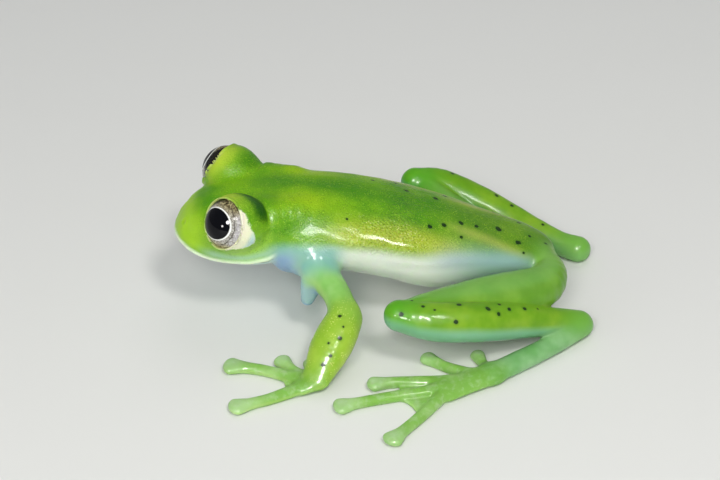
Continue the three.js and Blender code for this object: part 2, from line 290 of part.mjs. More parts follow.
// ---------------------------------------------------------------- fewer, larger facets where the skin is flat
function thin({ points, faces }, target) {
  const P = points.map(p => [...p]), F = faces.map(f => [...f]), around = P.map(() => new Set()), alive = F.map(() => true), gone = P.map(() => false)
  const Q = P.map(() => new Float64Array(10)), stamp = new Int32Array(P.length)
  const normal = (A, B, C) => {
    const ux = B[0] - A[0], uy = B[1] - A[1], uz = B[2] - A[2], wx = C[0] - A[0], wy = C[1] - A[1], wz = C[2] - A[2]
    return [uy * wz - uz * wy, uz * wx - ux * wz, ux * wy - uy * wx]
  }
  F.forEach((f, i) => {
    f.forEach(v => around[v].add(i))
    const n = normal(P[f[0]], P[f[1]], P[f[2]]), L = Math.hypot(...n)
    if (L < 1e-14) return
    const [a, b, c] = n.map(v => v / L), d = -(a * P[f[0]][0] + b * P[f[0]][1] + c * P[f[0]][2])
    const q = [a * a, a * b, a * c, a * d, b * b, b * c, b * d, c * c, c * d, d * d]
    for (const v of f) for (let k = 0; k < 10; k++) Q[v][k] += q[k] * L / 2
  })
  const cost = (q, x, y, z) => q[0] * x * x + 2 * q[1] * x * y + 2 * q[2] * x * z + 2 * q[3] * x + q[4] * y * y + 2 * q[5] * y * z + 2 * q[6] * y + q[7] * z * z + 2 * q[8] * z + q[9]
  const heap = []
  const push = e => { heap.push(e); let i = heap.length - 1; while (i > 0) { const p = (i - 1) >> 1; if (heap[p].c <= heap[i].c) break; [heap[p], heap[i]] = [heap[i], heap[p]]; i = p } }
  const pop = () => {
    const top = heap[0], last = heap.pop()
    if (heap.length) { heap[0] = last; let i = 0; for (;;) { let l = 2 * i + 1; if (l >= heap.length) break; if (l + 1 < heap.length && heap[l + 1].c < heap[l].c) l++; if (heap[i].c <= heap[l].c) break; [heap[i], heap[l]] = [heap[l], heap[i]]; i = l } }
    return top
  }
  const offer = (a, b) => {
    const q = Q[a].map((v, k) => v + Q[b][k]), A = P[a], B = P[b]
    const len2 = (A[0] - B[0]) ** 2 + (A[1] - B[1]) ** 2 + (A[2] - B[2]) ** 2
    const tries = [[(A[0] + B[0]) / 2, (A[1] + B[1]) / 2, (A[2] + B[2]) / 2], A, B]
    const [m0, m1, m2, m3, m4, m5, m6, m7, m8] = q
    const det = m0 * (m4 * m7 - m5 * m5) - m1 * (m1 * m7 - m5 * m2) + m2 * (m1 * m5 - m4 * m2)
    if (Math.abs(det) > 1e-12 * Math.pow(m0 + m4 + m7, 3)) {
      const x = -(m3 * (m4 * m7 - m5 * m5) - m1 * (m6 * m7 - m5 * m8) + m2 * (m6 * m5 - m4 * m8)) / det
      const y = -(m0 * (m6 * m7 - m8 * m5) - m3 * (m1 * m7 - m5 * m2) + m2 * (m1 * m8 - m6 * m2)) / det
      const z = -(m0 * (m4 * m8 - m5 * m6) - m1 * (m1 * m8 - m6 * m2) + m3 * (m1 * m5 - m4 * m2)) / det
      if ((x - tries[0][0]) ** 2 + (y - tries[0][1]) ** 2 + (z - tries[0][2]) ** 2 < 4 * len2) tries.unshift([x, y, z])
    }
    let best = null
    for (const t of tries) { const c = cost(q, ...t); if (!best || c < best.c - 1e-15) best = { c, t } }
    push({ c: Math.max(best.c, 0) + 2e-5 * len2, a, b, t: [...best.t], sa: stamp[a], sb: stamp[b] })
  }
  const neighbours = v => { const s = new Set(); for (const f of around[v]) for (const w of F[f]) if (w !== v) s.add(w); return s }
  P.forEach((_, v) => { for (const w of neighbours(v)) if (w > v) offer(v, w) })
  let count = F.length
  while (count > target && heap.length) {
    const { a, b, t, sa, sb } = pop()
    if (gone[a] || gone[b] || stamp[a] !== sa || stamp[b] !== sb) continue
    const na = neighbours(a), nb = neighbours(b)
    let shared = 0
    for (const v of na) if (nb.has(v)) shared++
    if (shared !== 2 || na.size + nb.size - shared - 2 < 3) continue
    let good = true
    for (const v of [a, b]) for (const f of around[v]) {
      if (F[f].includes(a) && F[f].includes(b)) continue
      const old = F[f].map(w => P[w]), now = F[f].map(w => (w === v ? t : P[w])), n0 = normal(...old), n1 = normal(...now), l0 = Math.hypot(...n0), l1 = Math.hypot(...n1)
      const longest = Math.max(...[0, 1, 2].map(k => (now[k][0] - now[(k + 1) % 3][0]) ** 2 + (now[k][1] - now[(k + 1) % 3][1]) ** 2 + (now[k][2] - now[(k + 1) % 3][2]) ** 2))
      if (l1 < 0.02 * longest || n0[0] * n1[0] + n0[1] * n1[1] + n0[2] * n1[2] < 0.35 * l0 * l1) { good = false; break }
    }
    if (!good) continue
    P[a] = t; gone[b] = true; stamp[a]++
    for (const f of [...around[b]]) {
      if (F[f].includes(a)) { alive[f] = false; count--; for (const w of F[f]) around[w].delete(f) }
      else { F[f][F[f].indexOf(b)] = a; around[a].add(f) }
    }
    around[b].clear()
    for (let k = 0; k < 10; k++) Q[a][k] += Q[b][k]
    for (const w of neighbours(a)) offer(a, w)
  }
  const index = new Map(), out = []
  const use = v => { if (!index.has(v)) { index.set(v, out.length); out.push(P[v]) } return index.get(v) }
  const kept = F.filter((_, i) => alive[i]).map(f => f.map(use))
  return { points: out, faces: kept }
}
function largest({ points, faces }) {        // keeps the one closed body, dropping crumbs cut off by a seam
  const root = points.map((_, i) => i), find = i => { while (root[i] !== i) { root[i] = root[root[i]]; i = root[i] } return i }
  for (const [a, b, c] of faces) { root[find(a)] = find(b); root[find(b)] = find(c) }
  const size = new Map()
  for (const f of faces) size.set(find(f[0]), (size.get(find(f[0])) ?? 0) + 1)
  const keep = [...size.entries()].sort((p, q) => q[1] - p[1])[0][0]
  return { points, faces: faces.filter(f => find(f[0]) === keep) }
}
const FLOOR_SNAP = 0.015
function geometryOf({ points, faces }) {
  const g = new THREE.BufferGeometry()
  g.setAttribute('position', new THREE.Float32BufferAttribute(points.flatMap(([x, y, z]) => [x - ORIGIN[0], y - ORIGIN[1], z < FLOOR_SNAP ? 0 : z - ORIGIN[2]]), 3))
  g.setIndex(faces.flat())
  return g
}

// ---------------------------------------------------------------- solids
const wasm = await Module(); wasm.setup()
const { mergeVertices } = await import('three/addons/utils/BufferGeometryUtils.js')
function solidOf(geometry) {
  const g = geometry.clone(); g.deleteAttribute('normal'); g.deleteAttribute('uv')
  const m = mergeVertices(g, 1e-5)
  return new wasm.Manifold(new wasm.Mesh({ numProp: 3, vertProperties: new Float32Array(m.attributes.position.array), triVerts: new Uint32Array(m.index.array) }))
}
function geometryFrom(solid) {
  const m = solid.getMesh(), g = new THREE.BufferGeometry()
  g.setAttribute('position', new THREE.BufferAttribute(new Float32Array(m.vertProperties), 3)); g.setIndex([...m.triVerts])
  return g
}
const group = new THREE.Group()
function place(name, geometry, color, roughness) {
  const mesh = new THREE.Mesh(geometry, new THREE.MeshStandardMaterial({ color, roughness, metalness: 0, flatShading: true }))
  mesh.name = name
  group.add(mesh)
}
// each eye: a ball seen through a round opening, as a plug that sits in a round recess of the head
function eyeOf(side) {
  const s = SIDES[side], c = fromHead([s * EYE_CENTRE[0], EYE_CENTRE[1], EYE_CENTRE[2]])
  const g = [s * Math.cos(GAZE_RISE) * Math.cos(GAZE_FORWARD), -Math.cos(GAZE_RISE) * Math.sin(GAZE_FORWARD), Math.sin(GAZE_RISE)]
  const co = Math.cos(HEAD_TURN), si = Math.sin(HEAD_TURN), gaze = new THREE.Vector3(g[0] * co - g[1] * si, g[1] * co + g[0] * si, g[2])
  const turn = new THREE.Quaternion().setFromUnitVectors(new THREE.Vector3(0, 1, 0), gaze), at = new THREE.Vector3(c[0] - ORIGIN[0], c[1] - ORIGIN[1], c[2] - ORIGIN[2])
  const put = (geometry, along) => geometry.applyQuaternion(turn).translate(at.x + gaze.x * along, at.y + gaze.y * along, at.z + gaze.z * along)
  const reach = 3
  const ball = solidOf(put(new THREE.SphereGeometry(EYE_RADIUS, 20, 16), 0))
  const plug = solidOf(put(new THREE.CylinderGeometry(EYE_PLUG_RADIUS, EYE_PLUG_RADIUS, reach, 24), EYE_PLUG_DEPTH + reach / 2))
  const recess = solidOf(put(new THREE.CylinderGeometry(EYE_PLUG_RADIUS + EYE_GAP, EYE_PLUG_RADIUS + EYE_GAP, reach, 24), EYE_PLUG_DEPTH - EYE_GAP + reach / 2))
  return { eye: ball.intersect(plug), recess }
}
const eyes = { left: eyeOf('left'), right: eyeOf('right') }
for (const part of parts) {
  let geometry = geometryOf(thin(largest(skinOf(part)), part.triangles))
  if (part.name === 'head') geometry = geometryFrom(solidOf(geometry).subtract(eyes.left.recess).subtract(eyes.right.recess))
  place(part.name, geometry, part.color, part.roughness)
}
for (const side of Object.keys(SIDES)) place(`eye_${side}`, geometryFrom(eyes[side].eye), 0x1a1612, 0.08)

export default group
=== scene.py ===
import math

import bpy
import numpy as np
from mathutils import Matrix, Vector


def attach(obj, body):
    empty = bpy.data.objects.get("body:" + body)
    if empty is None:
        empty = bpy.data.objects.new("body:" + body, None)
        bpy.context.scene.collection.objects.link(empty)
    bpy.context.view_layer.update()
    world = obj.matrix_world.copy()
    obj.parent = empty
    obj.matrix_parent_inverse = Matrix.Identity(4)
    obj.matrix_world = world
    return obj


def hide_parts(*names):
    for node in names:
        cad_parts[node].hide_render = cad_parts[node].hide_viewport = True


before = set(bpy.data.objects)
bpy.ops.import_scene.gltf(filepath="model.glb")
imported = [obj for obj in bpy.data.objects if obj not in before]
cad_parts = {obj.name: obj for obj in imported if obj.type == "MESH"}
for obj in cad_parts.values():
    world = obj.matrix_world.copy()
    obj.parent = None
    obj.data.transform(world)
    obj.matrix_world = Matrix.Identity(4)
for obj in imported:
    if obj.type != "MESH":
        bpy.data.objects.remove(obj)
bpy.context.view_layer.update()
MM = 0.001
ORIGIN = np.array([1.523, 1.749, 0.0])


def row(p):
    """A place in the drawing's millimetres, in the frame's metres."""
    return Vector(((p[0] - ORIGIN[0]) * MM, (p[1] - ORIGIN[1]) * MM, (p[2] - ORIGIN[2]) * MM))


# ---------------------------------------------------------------- camera
VIEW_RISE, VIEW_DISTANCE, VIEW_TARGET, LENS = math.radians(33.0), 150.0, (0.0, 0.0, 4.176), 117.75
cam_data = bpy.data.cameras.new("view")
cam = bpy.data.objects.new("view", cam_data)
bpy.context.scene.collection.objects.link(cam)
cam_data.lens, cam_data.sensor_width = LENS, 36.0
cam_data.clip_start, cam_data.clip_end = 0.005, 5.0
target = row(VIEW_TARGET)
cam.location = target + Vector((math.cos(VIEW_RISE), 0, math.sin(VIEW_RISE))) * VIEW_DISTANCE * MM
cam.rotation_euler = (target - cam.location).to_track_quat("-Z", "Y").to_euler()
bpy.context.scene.camera = cam

# ---------------------------------------------------------------- sizes of the body
SECTION_POWER = 2.15
SNOUT_Y, SNOUT_WIDE, SNOUT_HIGH = -11.75, 4.9, 2.5
VENT_Y, VENT_LENGTH = 12.4, 2.4
HEAD_TURN, NECK_Y, TURN_FROM, TURN_TO = math.radians(4.7), -4.2, -3.0, -6.4
EYE_CENTRE, EYE_RADIUS = (3.06, -8.09, 7.56), 1.72
BULGE_SHIFT, BULGE_RADIUS, BULGE_BLEND = (-0.08, 0.2, 0.0), 1.85, 0.5
GAZE_RISE, GAZE_FORWARD = math.radians(24.3), math.radians(50.7)
OPENING_RADIUS, SOCKET_ALONG = 1.50, 0.45
LID_RADIUS, LID_THICK, LID_ALONG, SHEATH = 1.575, 0.100, 0.84, 1.80
DIGIT_HEIGHT, DIGIT_THICK, KNUCKLE_HEIGHT, KNUCKLE_THICK = 0.29, 0.37, 0.36, 0.40
CELL = 0.11
LOFT = [
    (-11.8, 3.75, 7.05, 4.80, 0.20), (-10.4, 3.82, 7.60, 4.58, 0.23), (-9.0, 3.86, 8.08, 4.34, 0.25),
    (-7.6, 3.88, 8.42, 4.08, 0.28), (-6.0, 3.84, 8.52, 3.55, 0.36), (-4.8, 3.80, 8.57, 2.90, 0.44),
    (-3.6, 3.82, 8.57, 2.45, 0.48), (-1.3, 3.98, 8.22, 3.00, 0.50), (1.3, 4.12, 7.68, 2.68, 0.50),
    (4.5, 4.10, 6.78, 1.85, 0.50), (7.6, 3.15, 5.75, 2.00, 0.54), (10.2, 2.35, 4.85, 2.25, 0.58), (12.6, 1.85, 4.20, 2.50, 0.60)]
BROW = [(2.65, -7.6, 7.45, 1.5, 1.5), (2.3, -6.1, 7.4, 1.2, 1.2), (2.0, -4.2, 7.5, 0.8, 0.85)]
UPPER_ARM = [(2.2, -3.5, 5.2, 1.30, 1.30), (3.6, -2.75, 4.6, 1.08, 1.12), (5.2, -1.6, 3.85, 0.90, 0.95), (6.2, -1.12, 3.3, 0.92, 0.98), (6.95, -0.9, 2.92, 1.0, 1.0)]
FOREARM = [(6.85, -0.93, 2.98, 1.02, 1.05), (7.7, -1.3, 2.5, 1.28, 1.20), (8.7, -1.82, 1.92, 1.32, 1.08), (9.6, -2.28, 1.32, 1.10, 0.80), (10.2, -2.65, 0.85, 0.98, 0.55)]
PALM = [(10.1, -2.6, 0.62, 0.95, 0.56), (10.1, -3.4, 0.38, 1.15, 0.46)]
ARM_SPINE = [(4.3, -2.85, 4.3, 0.70, 0.85), (4.45, -3.10, 3.4, 0.52, 0.64), (4.5, -3.28, 2.74, 0.42, 0.46)]
THIGH = {
    "left": [(0.9, 11.5, 3.25, 1.0, 0.95), (2.4, 11.95, 3.2, 1.12, 1.08), (3.85, 11.1, 3.08, 1.48, 1.32), (5.15, 8.4, 3.26, 1.66, 1.38), (6.55, 5.2, 3.5, 1.32, 1.2), (7.75, 3.0, 3.78, 0.98, 1.0)],
    "right": [(0.9, 9.9, 2.95, 1.15, 1.05), (2.2, 10.2, 2.5, 1.28, 1.14), (3.4, 9.7, 2.15, 1.36, 1.16), (4.6, 8.0, 2.05, 1.36, 1.12), (6.5, 5.9, 2.4, 1.18, 1.04), (8.05, 4.2, 3.3, 0.95, 0.98)]}
SHANK = {
    "left": [(7.9, 2.4, 3.8, 0.95, 1.04), (8.25, 4.3, 3.6, 1.16, 1.22), (7.75, 7.0, 3.2, 1.2, 1.28), (6.5, 9.8, 2.42, 1.04, 1.16), (5.2, 12.3, 1.45, 0.86, 0.92), (4.6, 13.7, 0.92, 0.88, 0.88)],
    "right": [(8.2, 3.65, 3.5, 0.92, 0.98), (8.4, 5.5, 3.05, 1.1, 1.12), (7.6, 8.1, 2.2, 1.1, 1.1), (6.1, 10.9, 1.4, 0.92, 0.92), (4.75, 13.1, 0.95, 0.76, 0.78), (4.15, 14.3, 0.83, 0.86, 0.86)]}
TARSUS = {
    "left": [(4.55, 13.83, 0.78, 0.88, 0.84), (6.45, 12.0, 0.66, 0.72, 0.66), (8.15, 9.8, 0.55, 0.77, 0.60), (9.35, 8.0, 0.46, 0.86, 0.52)],
    "right": [(4.1, 14.4, 0.78, 0.86, 0.84), (5.2, 12.3, 0.66, 0.72, 0.66), (6.3, 9.8, 0.55, 0.76, 0.60), (7.1, 7.8, 0.46, 0.86, 0.52)]}
SOLE = {
    "left": [(9.3, 8.1, 0.44, 0.88, 0.50), (10.15, 6.4, 0.38, 1.0, 0.46), (10.8, 5.1, 0.34, 1.15, 0.42)],
    "right": [(7.05, 7.9, 0.44, 0.88, 0.50), (7.8, 6.1, 0.38, 1.0, 0.46), (8.4, 4.8, 0.34, 1.15, 0.42)]}
FINGERS = [((9.8, -2.9), (8.1, -3.1), 0, 0.42, 0.38, 0.46), ((9.9, -3.0), (7.8, -4.8), 0.10, 0.44, 0.38, 0.60),
           ((10.0, -3.2), (8.3, -7.9), -0.25, 0.52, 0.43, 0.78), ((10.4, -3.2), (12.45, -7.4), 0.15, 0.52, 0.43, 0.74)]
TOES = {
    "left": [((9.0, 7.9), (7.2, 7.3), 0, 0.42, 0.36, 0.50), ((9.3, 6.9), (7.5, 4.2), 0.12, 0.44, 0.38, 0.58),
             ((10.0, 5.6), (10.15, 0.9), -0.15, 0.50, 0.42, 0.66), ((10.7, 5.2), (12.4, -1.1), -0.12, 0.50, 0.42, 0.72), ((10.9, 5.3), (15.6, 1.95), 0.10, 0.50, 0.42, 0.70)],
    "right": [((6.9, 7.7), (5.1, 6.7), 0, 0.42, 0.36, 0.50), ((7.0, 6.6), (5.6, 3.7), 0.12, 0.44, 0.38, 0.58),
              ((7.8, 5.3), (7.0, 0.6), -0.15, 0.50, 0.42, 0.66), ((8.4, 4.8), (9.0, -1.6), -0.12, 0.50, 0.42, 0.72), ((8.7, 5.0), (12.0, 0.5), 0.10, 0.50, 0.42, 0.70)]}
WEB_THICK, WEB_HOLLOW = 0.30, 0.2
FINGER_WEBS = [(2, 3, 0.45, 0.42)]
TOE_WEBS = [(1, 2, 0.30, 0.28), (2, 3, 0.70, 0.55), (3, 4, 0.50, 0.60)]
SIDES = {"left": 1, "right": -1}


# ---------------------------------------------------------------- field of flesh
def smooth(a, b, x):
    t = np.clip((x - a) / (b - a), 0, 1)
    return t * t * (3 - 2 * t)


def bump(x, middle, width):
    return np.exp(-((x - middle) / width) ** 2)


def blend(a, b, k):
    h = np.clip(0.5 + 0.5 * (b - a) / k, 0, 1)
    return b + (a - b) * h - k * h * (1 - h)


def carve(a, b, k):
    return -blend(-a, -b, k)


def hermite(X, Y, x):
    X, Y = np.asarray(X, float), np.asarray(Y, float)
    m = np.gradient(Y, X)
    x = np.clip(x, X[0], X[-1])
    i = np.clip(np.searchsorted(X, x) - 1, 0, len(X) - 2)
    h = X[i + 1] - X[i]
    t = (x - X[i]) / h
    t2 = t * t
    t3 = t2 * t
    return (2 * t3 - 3 * t2 + 1) * Y[i] + (t3 - 2 * t2 + t) * h * m[i] + (3 * t2 - 2 * t3) * Y[i + 1] + (t3 - t2) * h * m[i + 1]


_loft = np.array(LOFT)
LOFT_Y = np.linspace(_loft[0, 0], _loft[-1, 0], 800)
LOFT_TABLE = [hermite(_loft[:, 0], _loft[:, c], LOFT_Y) for c in range(1, 5)]


def trunk_level(x, y, z):
    n = SECTION_POWER
    f = np.clip((y - LOFT_Y[0]) / (LOFT_Y[-1] - LOFT_Y[0]) * (len(LOFT_Y) - 1), 0, len(LOFT_Y) - 1.001)
    i = f.astype(int)
    r = f - i
    a, top, bottom, share = (t[i] * (1 - r) + t[i + 1] * r for t in LOFT_TABLE)
    u = np.maximum((SNOUT_Y + SNOUT_WIDE - y) / SNOUT_WIDE, 0)
    v = np.maximum((y - VENT_Y + VENT_LENGTH) / VENT_LENGTH, 0)
    uc = np.minimum(u, 0.985)
    uh = np.clip(1 - (1 - uc) * SNOUT_WIDE / SNOUT_HIGH, 0, 1)
    ratio = np.power(1 - uh ** n, 1 / n) / np.power(1 - uc ** n, 1 / n)
    middle = bottom + (top - bottom) * share
    b = np.where(z > middle, top - middle, middle - bottom) * ratio
    return np.power(np.power(np.abs(x) / a, n) + np.power(np.abs(z - middle) / b, n) + u ** n + v ** n, 1 / n) - 1


def into_head(x, y):
    a = HEAD_TURN * smooth(TURN_FROM, TURN_TO, y)
    c, s = np.cos(a), np.sin(a)
    v = y - NECK_Y
    return x * c + v * s, NECK_Y - x * s + v * c


def from_head(p):
    c, s = math.cos(HEAD_TURN), math.sin(HEAD_TURN)
    v = p[1] - NECK_Y
    return (p[0] * c - v * s, NECK_Y + v * c + p[0] * s) + tuple(p[2:])


def trunk_field(x, y, z, e=0.02):
    hx, hy = into_head(x, y)
    f = trunk_level(hx, hy, z)
    g = np.sqrt((trunk_level(hx + e, hy, z) - f) ** 2 + (trunk_level(hx, hy + e, z) - f) ** 2 + (trunk_level(hx, hy, z + e) - f) ** 2) / e
    return f / np.maximum(g, 0.1)


class Tube:
    """A chain of tapered elliptical capsules along stations of x, y, z, radius across and radius up."""

    def __init__(self, st, up=(0, 0, 1), finer=4):
        st = np.array(st, float)
        n = len(st)
        if n > 2:
            st = np.stack([hermite(np.arange(n), st[:, c], np.linspace(0, n - 1, (n - 1) * finer + 1)) for c in range(5)], 1)
        r = st[:, 3:].max(1)[:, None] + 1.4
        self.lo, self.hi, self.segs = (st[:, :3] - r).min(0), (st[:, :3] + r).max(0), []
        for A, B in zip(st[:-1], st[1:]):
            d = B[:3] - A[:3]
            T = d / np.linalg.norm(d)
            N = np.cross(up, T)
            N /= np.linalg.norm(N)
            self.segs.append((A[:3], d, d @ d, T, N, np.cross(T, N), A[3], B[3], A[4], B[4]))

    def __call__(self, x, y, z):
        out = np.full(x.shape, 3.0)
        m = (x > self.lo[0]) & (x < self.hi[0]) & (y > self.lo[1]) & (y < self.hi[1]) & (z > self.lo[2]) & (z < self.hi[2])
        if not m.any():
            return out
        x, y, z = x[m], y[m], z[m]
        best = np.full(x.shape, 1e9)
        for A, d, L2, T, N, M, wa, wb, ha, hb in self.segs:
            px, py, pz = x - A[0], y - A[1], z - A[2]
            t = np.clip((px * d[0] + py * d[1] + pz * d[2]) / L2, 0, 1)
            qx, qy, qz = px - t * d[0], py - t * d[1], pz - t * d[2]
            rw = wa + (wb - wa) * t
            rh = ha + (hb - ha) * t
            rt = 0.5 * (rw + rh)
            a = (qx * N[0] + qy * N[1] + qz * N[2]) / rw
            b = (qx * M[0] + qy * M[1] + qz * M[2]) / rh
            c = (qx * T[0] + qy * T[1] + qz * T[2]) / rt
            k0 = np.sqrt(a * a + b * b + c * c)
            k1 = np.sqrt((a / rw) ** 2 + (b / rh) ** 2 + (c / rt) ** 2)
            best = np.minimum(best, np.where(k0 < 1e-6, -np.minimum(rw, rh), k0 * (k0 - 1) / np.maximum(k1, 1e-9)))
        out[m] = best
        return out


def digit(f):
    root, tip, bow, r0, r1, disc = f
    dx, dy = tip[0] - root[0], tip[1] - root[1]
    n = math.hypot(dx, dy)
    out = []
    for k in (0, 0.5, 1 - (0.95 * disc + 0.28) / n, 1):
        s = bow * 4 * k * (1 - k) / n
        out.append((root[0] + dx * k - dy * s, root[1] + dy * k + dx * s, KNUCKLE_HEIGHT if k == 0 else DIGIT_HEIGHT,
                    disc if k == 1 else r0 + (r1 - r0) * min(2 * k, 1), KNUCKLE_THICK if k == 0 else DIGIT_THICK))
    return out


def on_digit(f, k):
    """A place on a digit's middle line, from 0 at the root to 1 at the tip."""
    dx, dy = f[1][0] - f[0][0], f[1][1] - f[0][1]
    s = f[2] * 4 * k * (1 - k) / math.hypot(dx, dy)
    return np.array([f[0][0] + dx * k - dy * s, f[0][1] + dy * k + dx * s])


def web(side, f0, f1, k0, k1):
    """A thin slab between two digits whose free edge curves in."""
    q = [on_digit(f0, 0), on_digit(f0, k0), on_digit(f1, k1), on_digit(f1, 0)]
    q = [p * (SIDES[side], 1) for p in q]
    middle, edges = sum(q) / 4, []
    for i in range(4):
        a, b = q[i], q[(i + 1) % 4]
        n = np.array([b[1] - a[1], a[0] - b[0]]) / np.linalg.norm(b - a)
        edges.append((a, -n if n @ (middle - a) > 0 else n))
    chord = np.linalg.norm(q[2] - q[1])
    sag = WEB_HOLLOW * chord
    r = (chord * chord / 4 + sag * sag) / (2 * sag)
    c = (q[1] + q[2]) / 2 + edges[1][1] * (r - sag)

    def field(x, y, z):
        d = np.maximum(r - np.hypot(x - c[0], y - c[1]), np.abs(z - WEB_THICK / 2) - WEB_THICK / 2)
        for a, n in edges:
            d = np.maximum(d, n[0] * (x - a[0]) + n[1] * (y - a[1]))
        return d
    return field


def on_side(side, st):
    return [(SIDES[side] * s[0],) + tuple(s[1:]) for s in st]


LIMBS, EYES = {}, {}
for side, sgn in SIDES.items():
    def t(st, up=(0, 0, 1), side=side):
        return Tube(on_side(side, st), up)
    LIMBS[side] = dict(
        brow=Tube([from_head(s) for s in on_side(side, BROW)]), upper=t(UPPER_ARM), fore=t(FOREARM), spine=t(ARM_SPINE, (0, 1, 0)),
        palm=t(PALM), fingers=[t(digit(f)) for f in FINGERS], thigh=t(THIGH[side]), shank=t(SHANK[side]), tarsus=t(TARSUS[side]),
        sole=t(SOLE[side]), toes=[t(digit(f)) for f in TOES[side]],
        finger_webs=[web(side, FINGERS[a], FINGERS[b], j, k) for a, b, j, k in FINGER_WEBS],
        toe_webs=[web(side, TOES[side][a], TOES[side][b], j, k) for a, b, j, k in TOE_WEBS],
        bulge=from_head((sgn * (EYE_CENTRE[0] + BULGE_SHIFT[0]), EYE_CENTRE[1] + BULGE_SHIFT[1], EYE_CENTRE[2] + BULGE_SHIFT[2])))
    g = np.array([sgn * math.cos(GAZE_RISE) * math.cos(GAZE_FORWARD), -math.cos(GAZE_RISE) * math.sin(GAZE_FORWARD), math.sin(GAZE_RISE)])
    c, s = math.cos(HEAD_TURN), math.sin(HEAD_TURN)
    gaze = np.array([g[0] * c - g[1] * s, g[1] * c + g[0] * s, g[2]])
    level = np.cross((0, 0, 1), gaze)
    level /= np.linalg.norm(level)                       # along the eye's long axis
    EYES[side] = dict(c=np.array(from_head((sgn * EYE_CENTRE[0], EYE_CENTRE[1], EYE_CENTRE[2]))), gaze=gaze, level=level, rise=np.cross(gaze, level))


def in_eye(side, x, y, z):
    """Place in an eye's own axes: along the gaze, along its long axis, and upwards."""
    e = EYES[side]
    px, py, pz = x - e["c"][0], y - e["c"][1], z - e["c"][2]
    return tuple(px * a[0] + py * a[1] + pz * a[2] for a in (e["gaze"], e["level"], e["rise"]))


def fields(x, y, z):
    F = {"body": trunk_field(x, y, z)}
    for side in SIDES:
        m = LIMBS[side]
        F["body"] = blend(F["body"], m["brow"](x, y, z), 0.8)
        b = m["bulge"]
        F["body"] = blend(F["body"], np.sqrt((x - b[0]) ** 2 + (y - b[1]) ** 2 + (z - b[2]) ** 2) - BULGE_RADIUS, BULGE_BLEND)
        hand = m["palm"](x, y, z)
        for f in m["fingers"]:
            hand = blend(hand, f(x, y, z), 0.22)
        for f in m["finger_webs"]:
            hand = blend(hand, f(x, y, z), 0.12)
        upper, fore = m["upper"](x, y, z), m["fore"](x, y, z)
        arm = blend(blend(upper, fore, 0.35), m["spine"](x, y, z), 0.3)
        foot = m["sole"](x, y, z)
        for f in m["toes"]:
            foot = blend(foot, f(x, y, z), 0.22)
        for f in m["toe_webs"]:
            foot = blend(foot, f(x, y, z), 0.12)
        tarsus = m["tarsus"](x, y, z)
        F[side] = dict(arm=blend(arm, hand, 0.25), upper=upper, fore=fore, hand=hand, foot=foot, tarsus=tarsus,
                       thigh=m["thigh"](x, y, z), shank=m["shank"](x, y, z), lower=blend(tarsus, foot, 0.4))
    return F


# lip line of the mouth: head length against height
LIP = [(-12.0, 5.50), (-11.2, 5.34), (-10.0, 5.08), (-8.6, 4.98), (-7.2, 5.00), (-6.0, 5.22), (-5.0, 5.68), (-4.4, 6.00)]
NOSTRIL, NOSTRIL_R = (0.95, -11.15, 6.55), 0.11
EARDRUM, EARDRUM_R = (3.72, -5.0, 6.55), 0.40


def lip_height(hy):
    a = np.array(LIP)
    return np.interp(hy, a[:, 0], a[:, 1])


def face_detail(x, y, z):
    """Height of the fine forms of the head over the plain flesh, in millimetres (outwards is positive)."""
    hx, hy = into_head(x, y)
    s = z - lip_height(hy)
    front = 1 - smooth(-5.9, -5.0, hy)
    out = front * (0.055 * bump(s, 0.08, 0.16) - 0.110 * bump(s, -0.15, 0.075) - 0.34 * (1 - smooth(-0.80, -0.10, s)))
    ax = np.abs(hx)
    # ridge from the eye to the nostril, with a shallow hollow under it
    ridge_z = 7.05 + 0.10 * (hy + 11.0)
    along = smooth(-11.6, -10.9, hy) * (1 - smooth(-9.5, -8.9, hy))
    out += along * (0.02 * bump(z, ridge_z, 0.32) - 0.08 * bump(z, ridge_z - 0.75, 0.42)) * smooth(0.6, 1.5, ax)
    # nostrils: a raised ring around a pit
    r = np.sqrt((ax - NOSTRIL[0]) ** 2 + (hy - NOSTRIL[1]) ** 2 + (z - NOSTRIL[2]) ** 2)
    out += 0.040 * bump(r, 0.22, 0.13) - 0.17 * bump(r, 0.0, NOSTRIL_R)
    # eardrum and the fold above it, down to the shoulder
    r = np.sqrt((ax - EARDRUM[0]) ** 2 + (hy - EARDRUM[1]) ** 2 + (z - EARDRUM[2]) ** 2)
    out += 0.025 * bump(r, EARDRUM_R, 0.08) - 0.02 * bump(r, 0.0, 0.28)
    # crease that sets each eye bulge off from the crown
    for side in SIDES:
        a, u, v = in_eye(side, x, y, z)
        th = np.arctan2(v, u * SIDES[side])
        out -= 0.17 * bump(np.sqrt(a * a + u * u + v * v), 2.26, 0.20) * bump(th, 1.05, 0.90) * (1 - smooth(0.0, 0.7, a))
    fold = z - (7.35 - 0.22 * (hy + 6.0) - 0.09 * (hy + 6.0) ** 2)
    out += 0.045 * bump(fold, 0, 0.17) * smooth(-6.7, -5.9, hy) * (1 - smooth(-3.9, -3.0, hy)) * smooth(2.8, 3.3, ax)
    return out


def waves(x, y, z, size, seed):
    """Soft repeatable lumps about `size` across, from -1 to 1."""
    rng = np.random.RandomState(seed)
    total = np.zeros_like(x)
    for _ in range(9):
        d = rng.normal(size=3)
        d /= np.linalg.norm(d)
        f = 2 * math.pi / size * (0.7 + 0.6 * rng.rand())
        total += np.sin(f * (d[0] * x + d[1] * y + d[2] * z) + 2 * math.pi * rng.rand())
    return total / 4.5


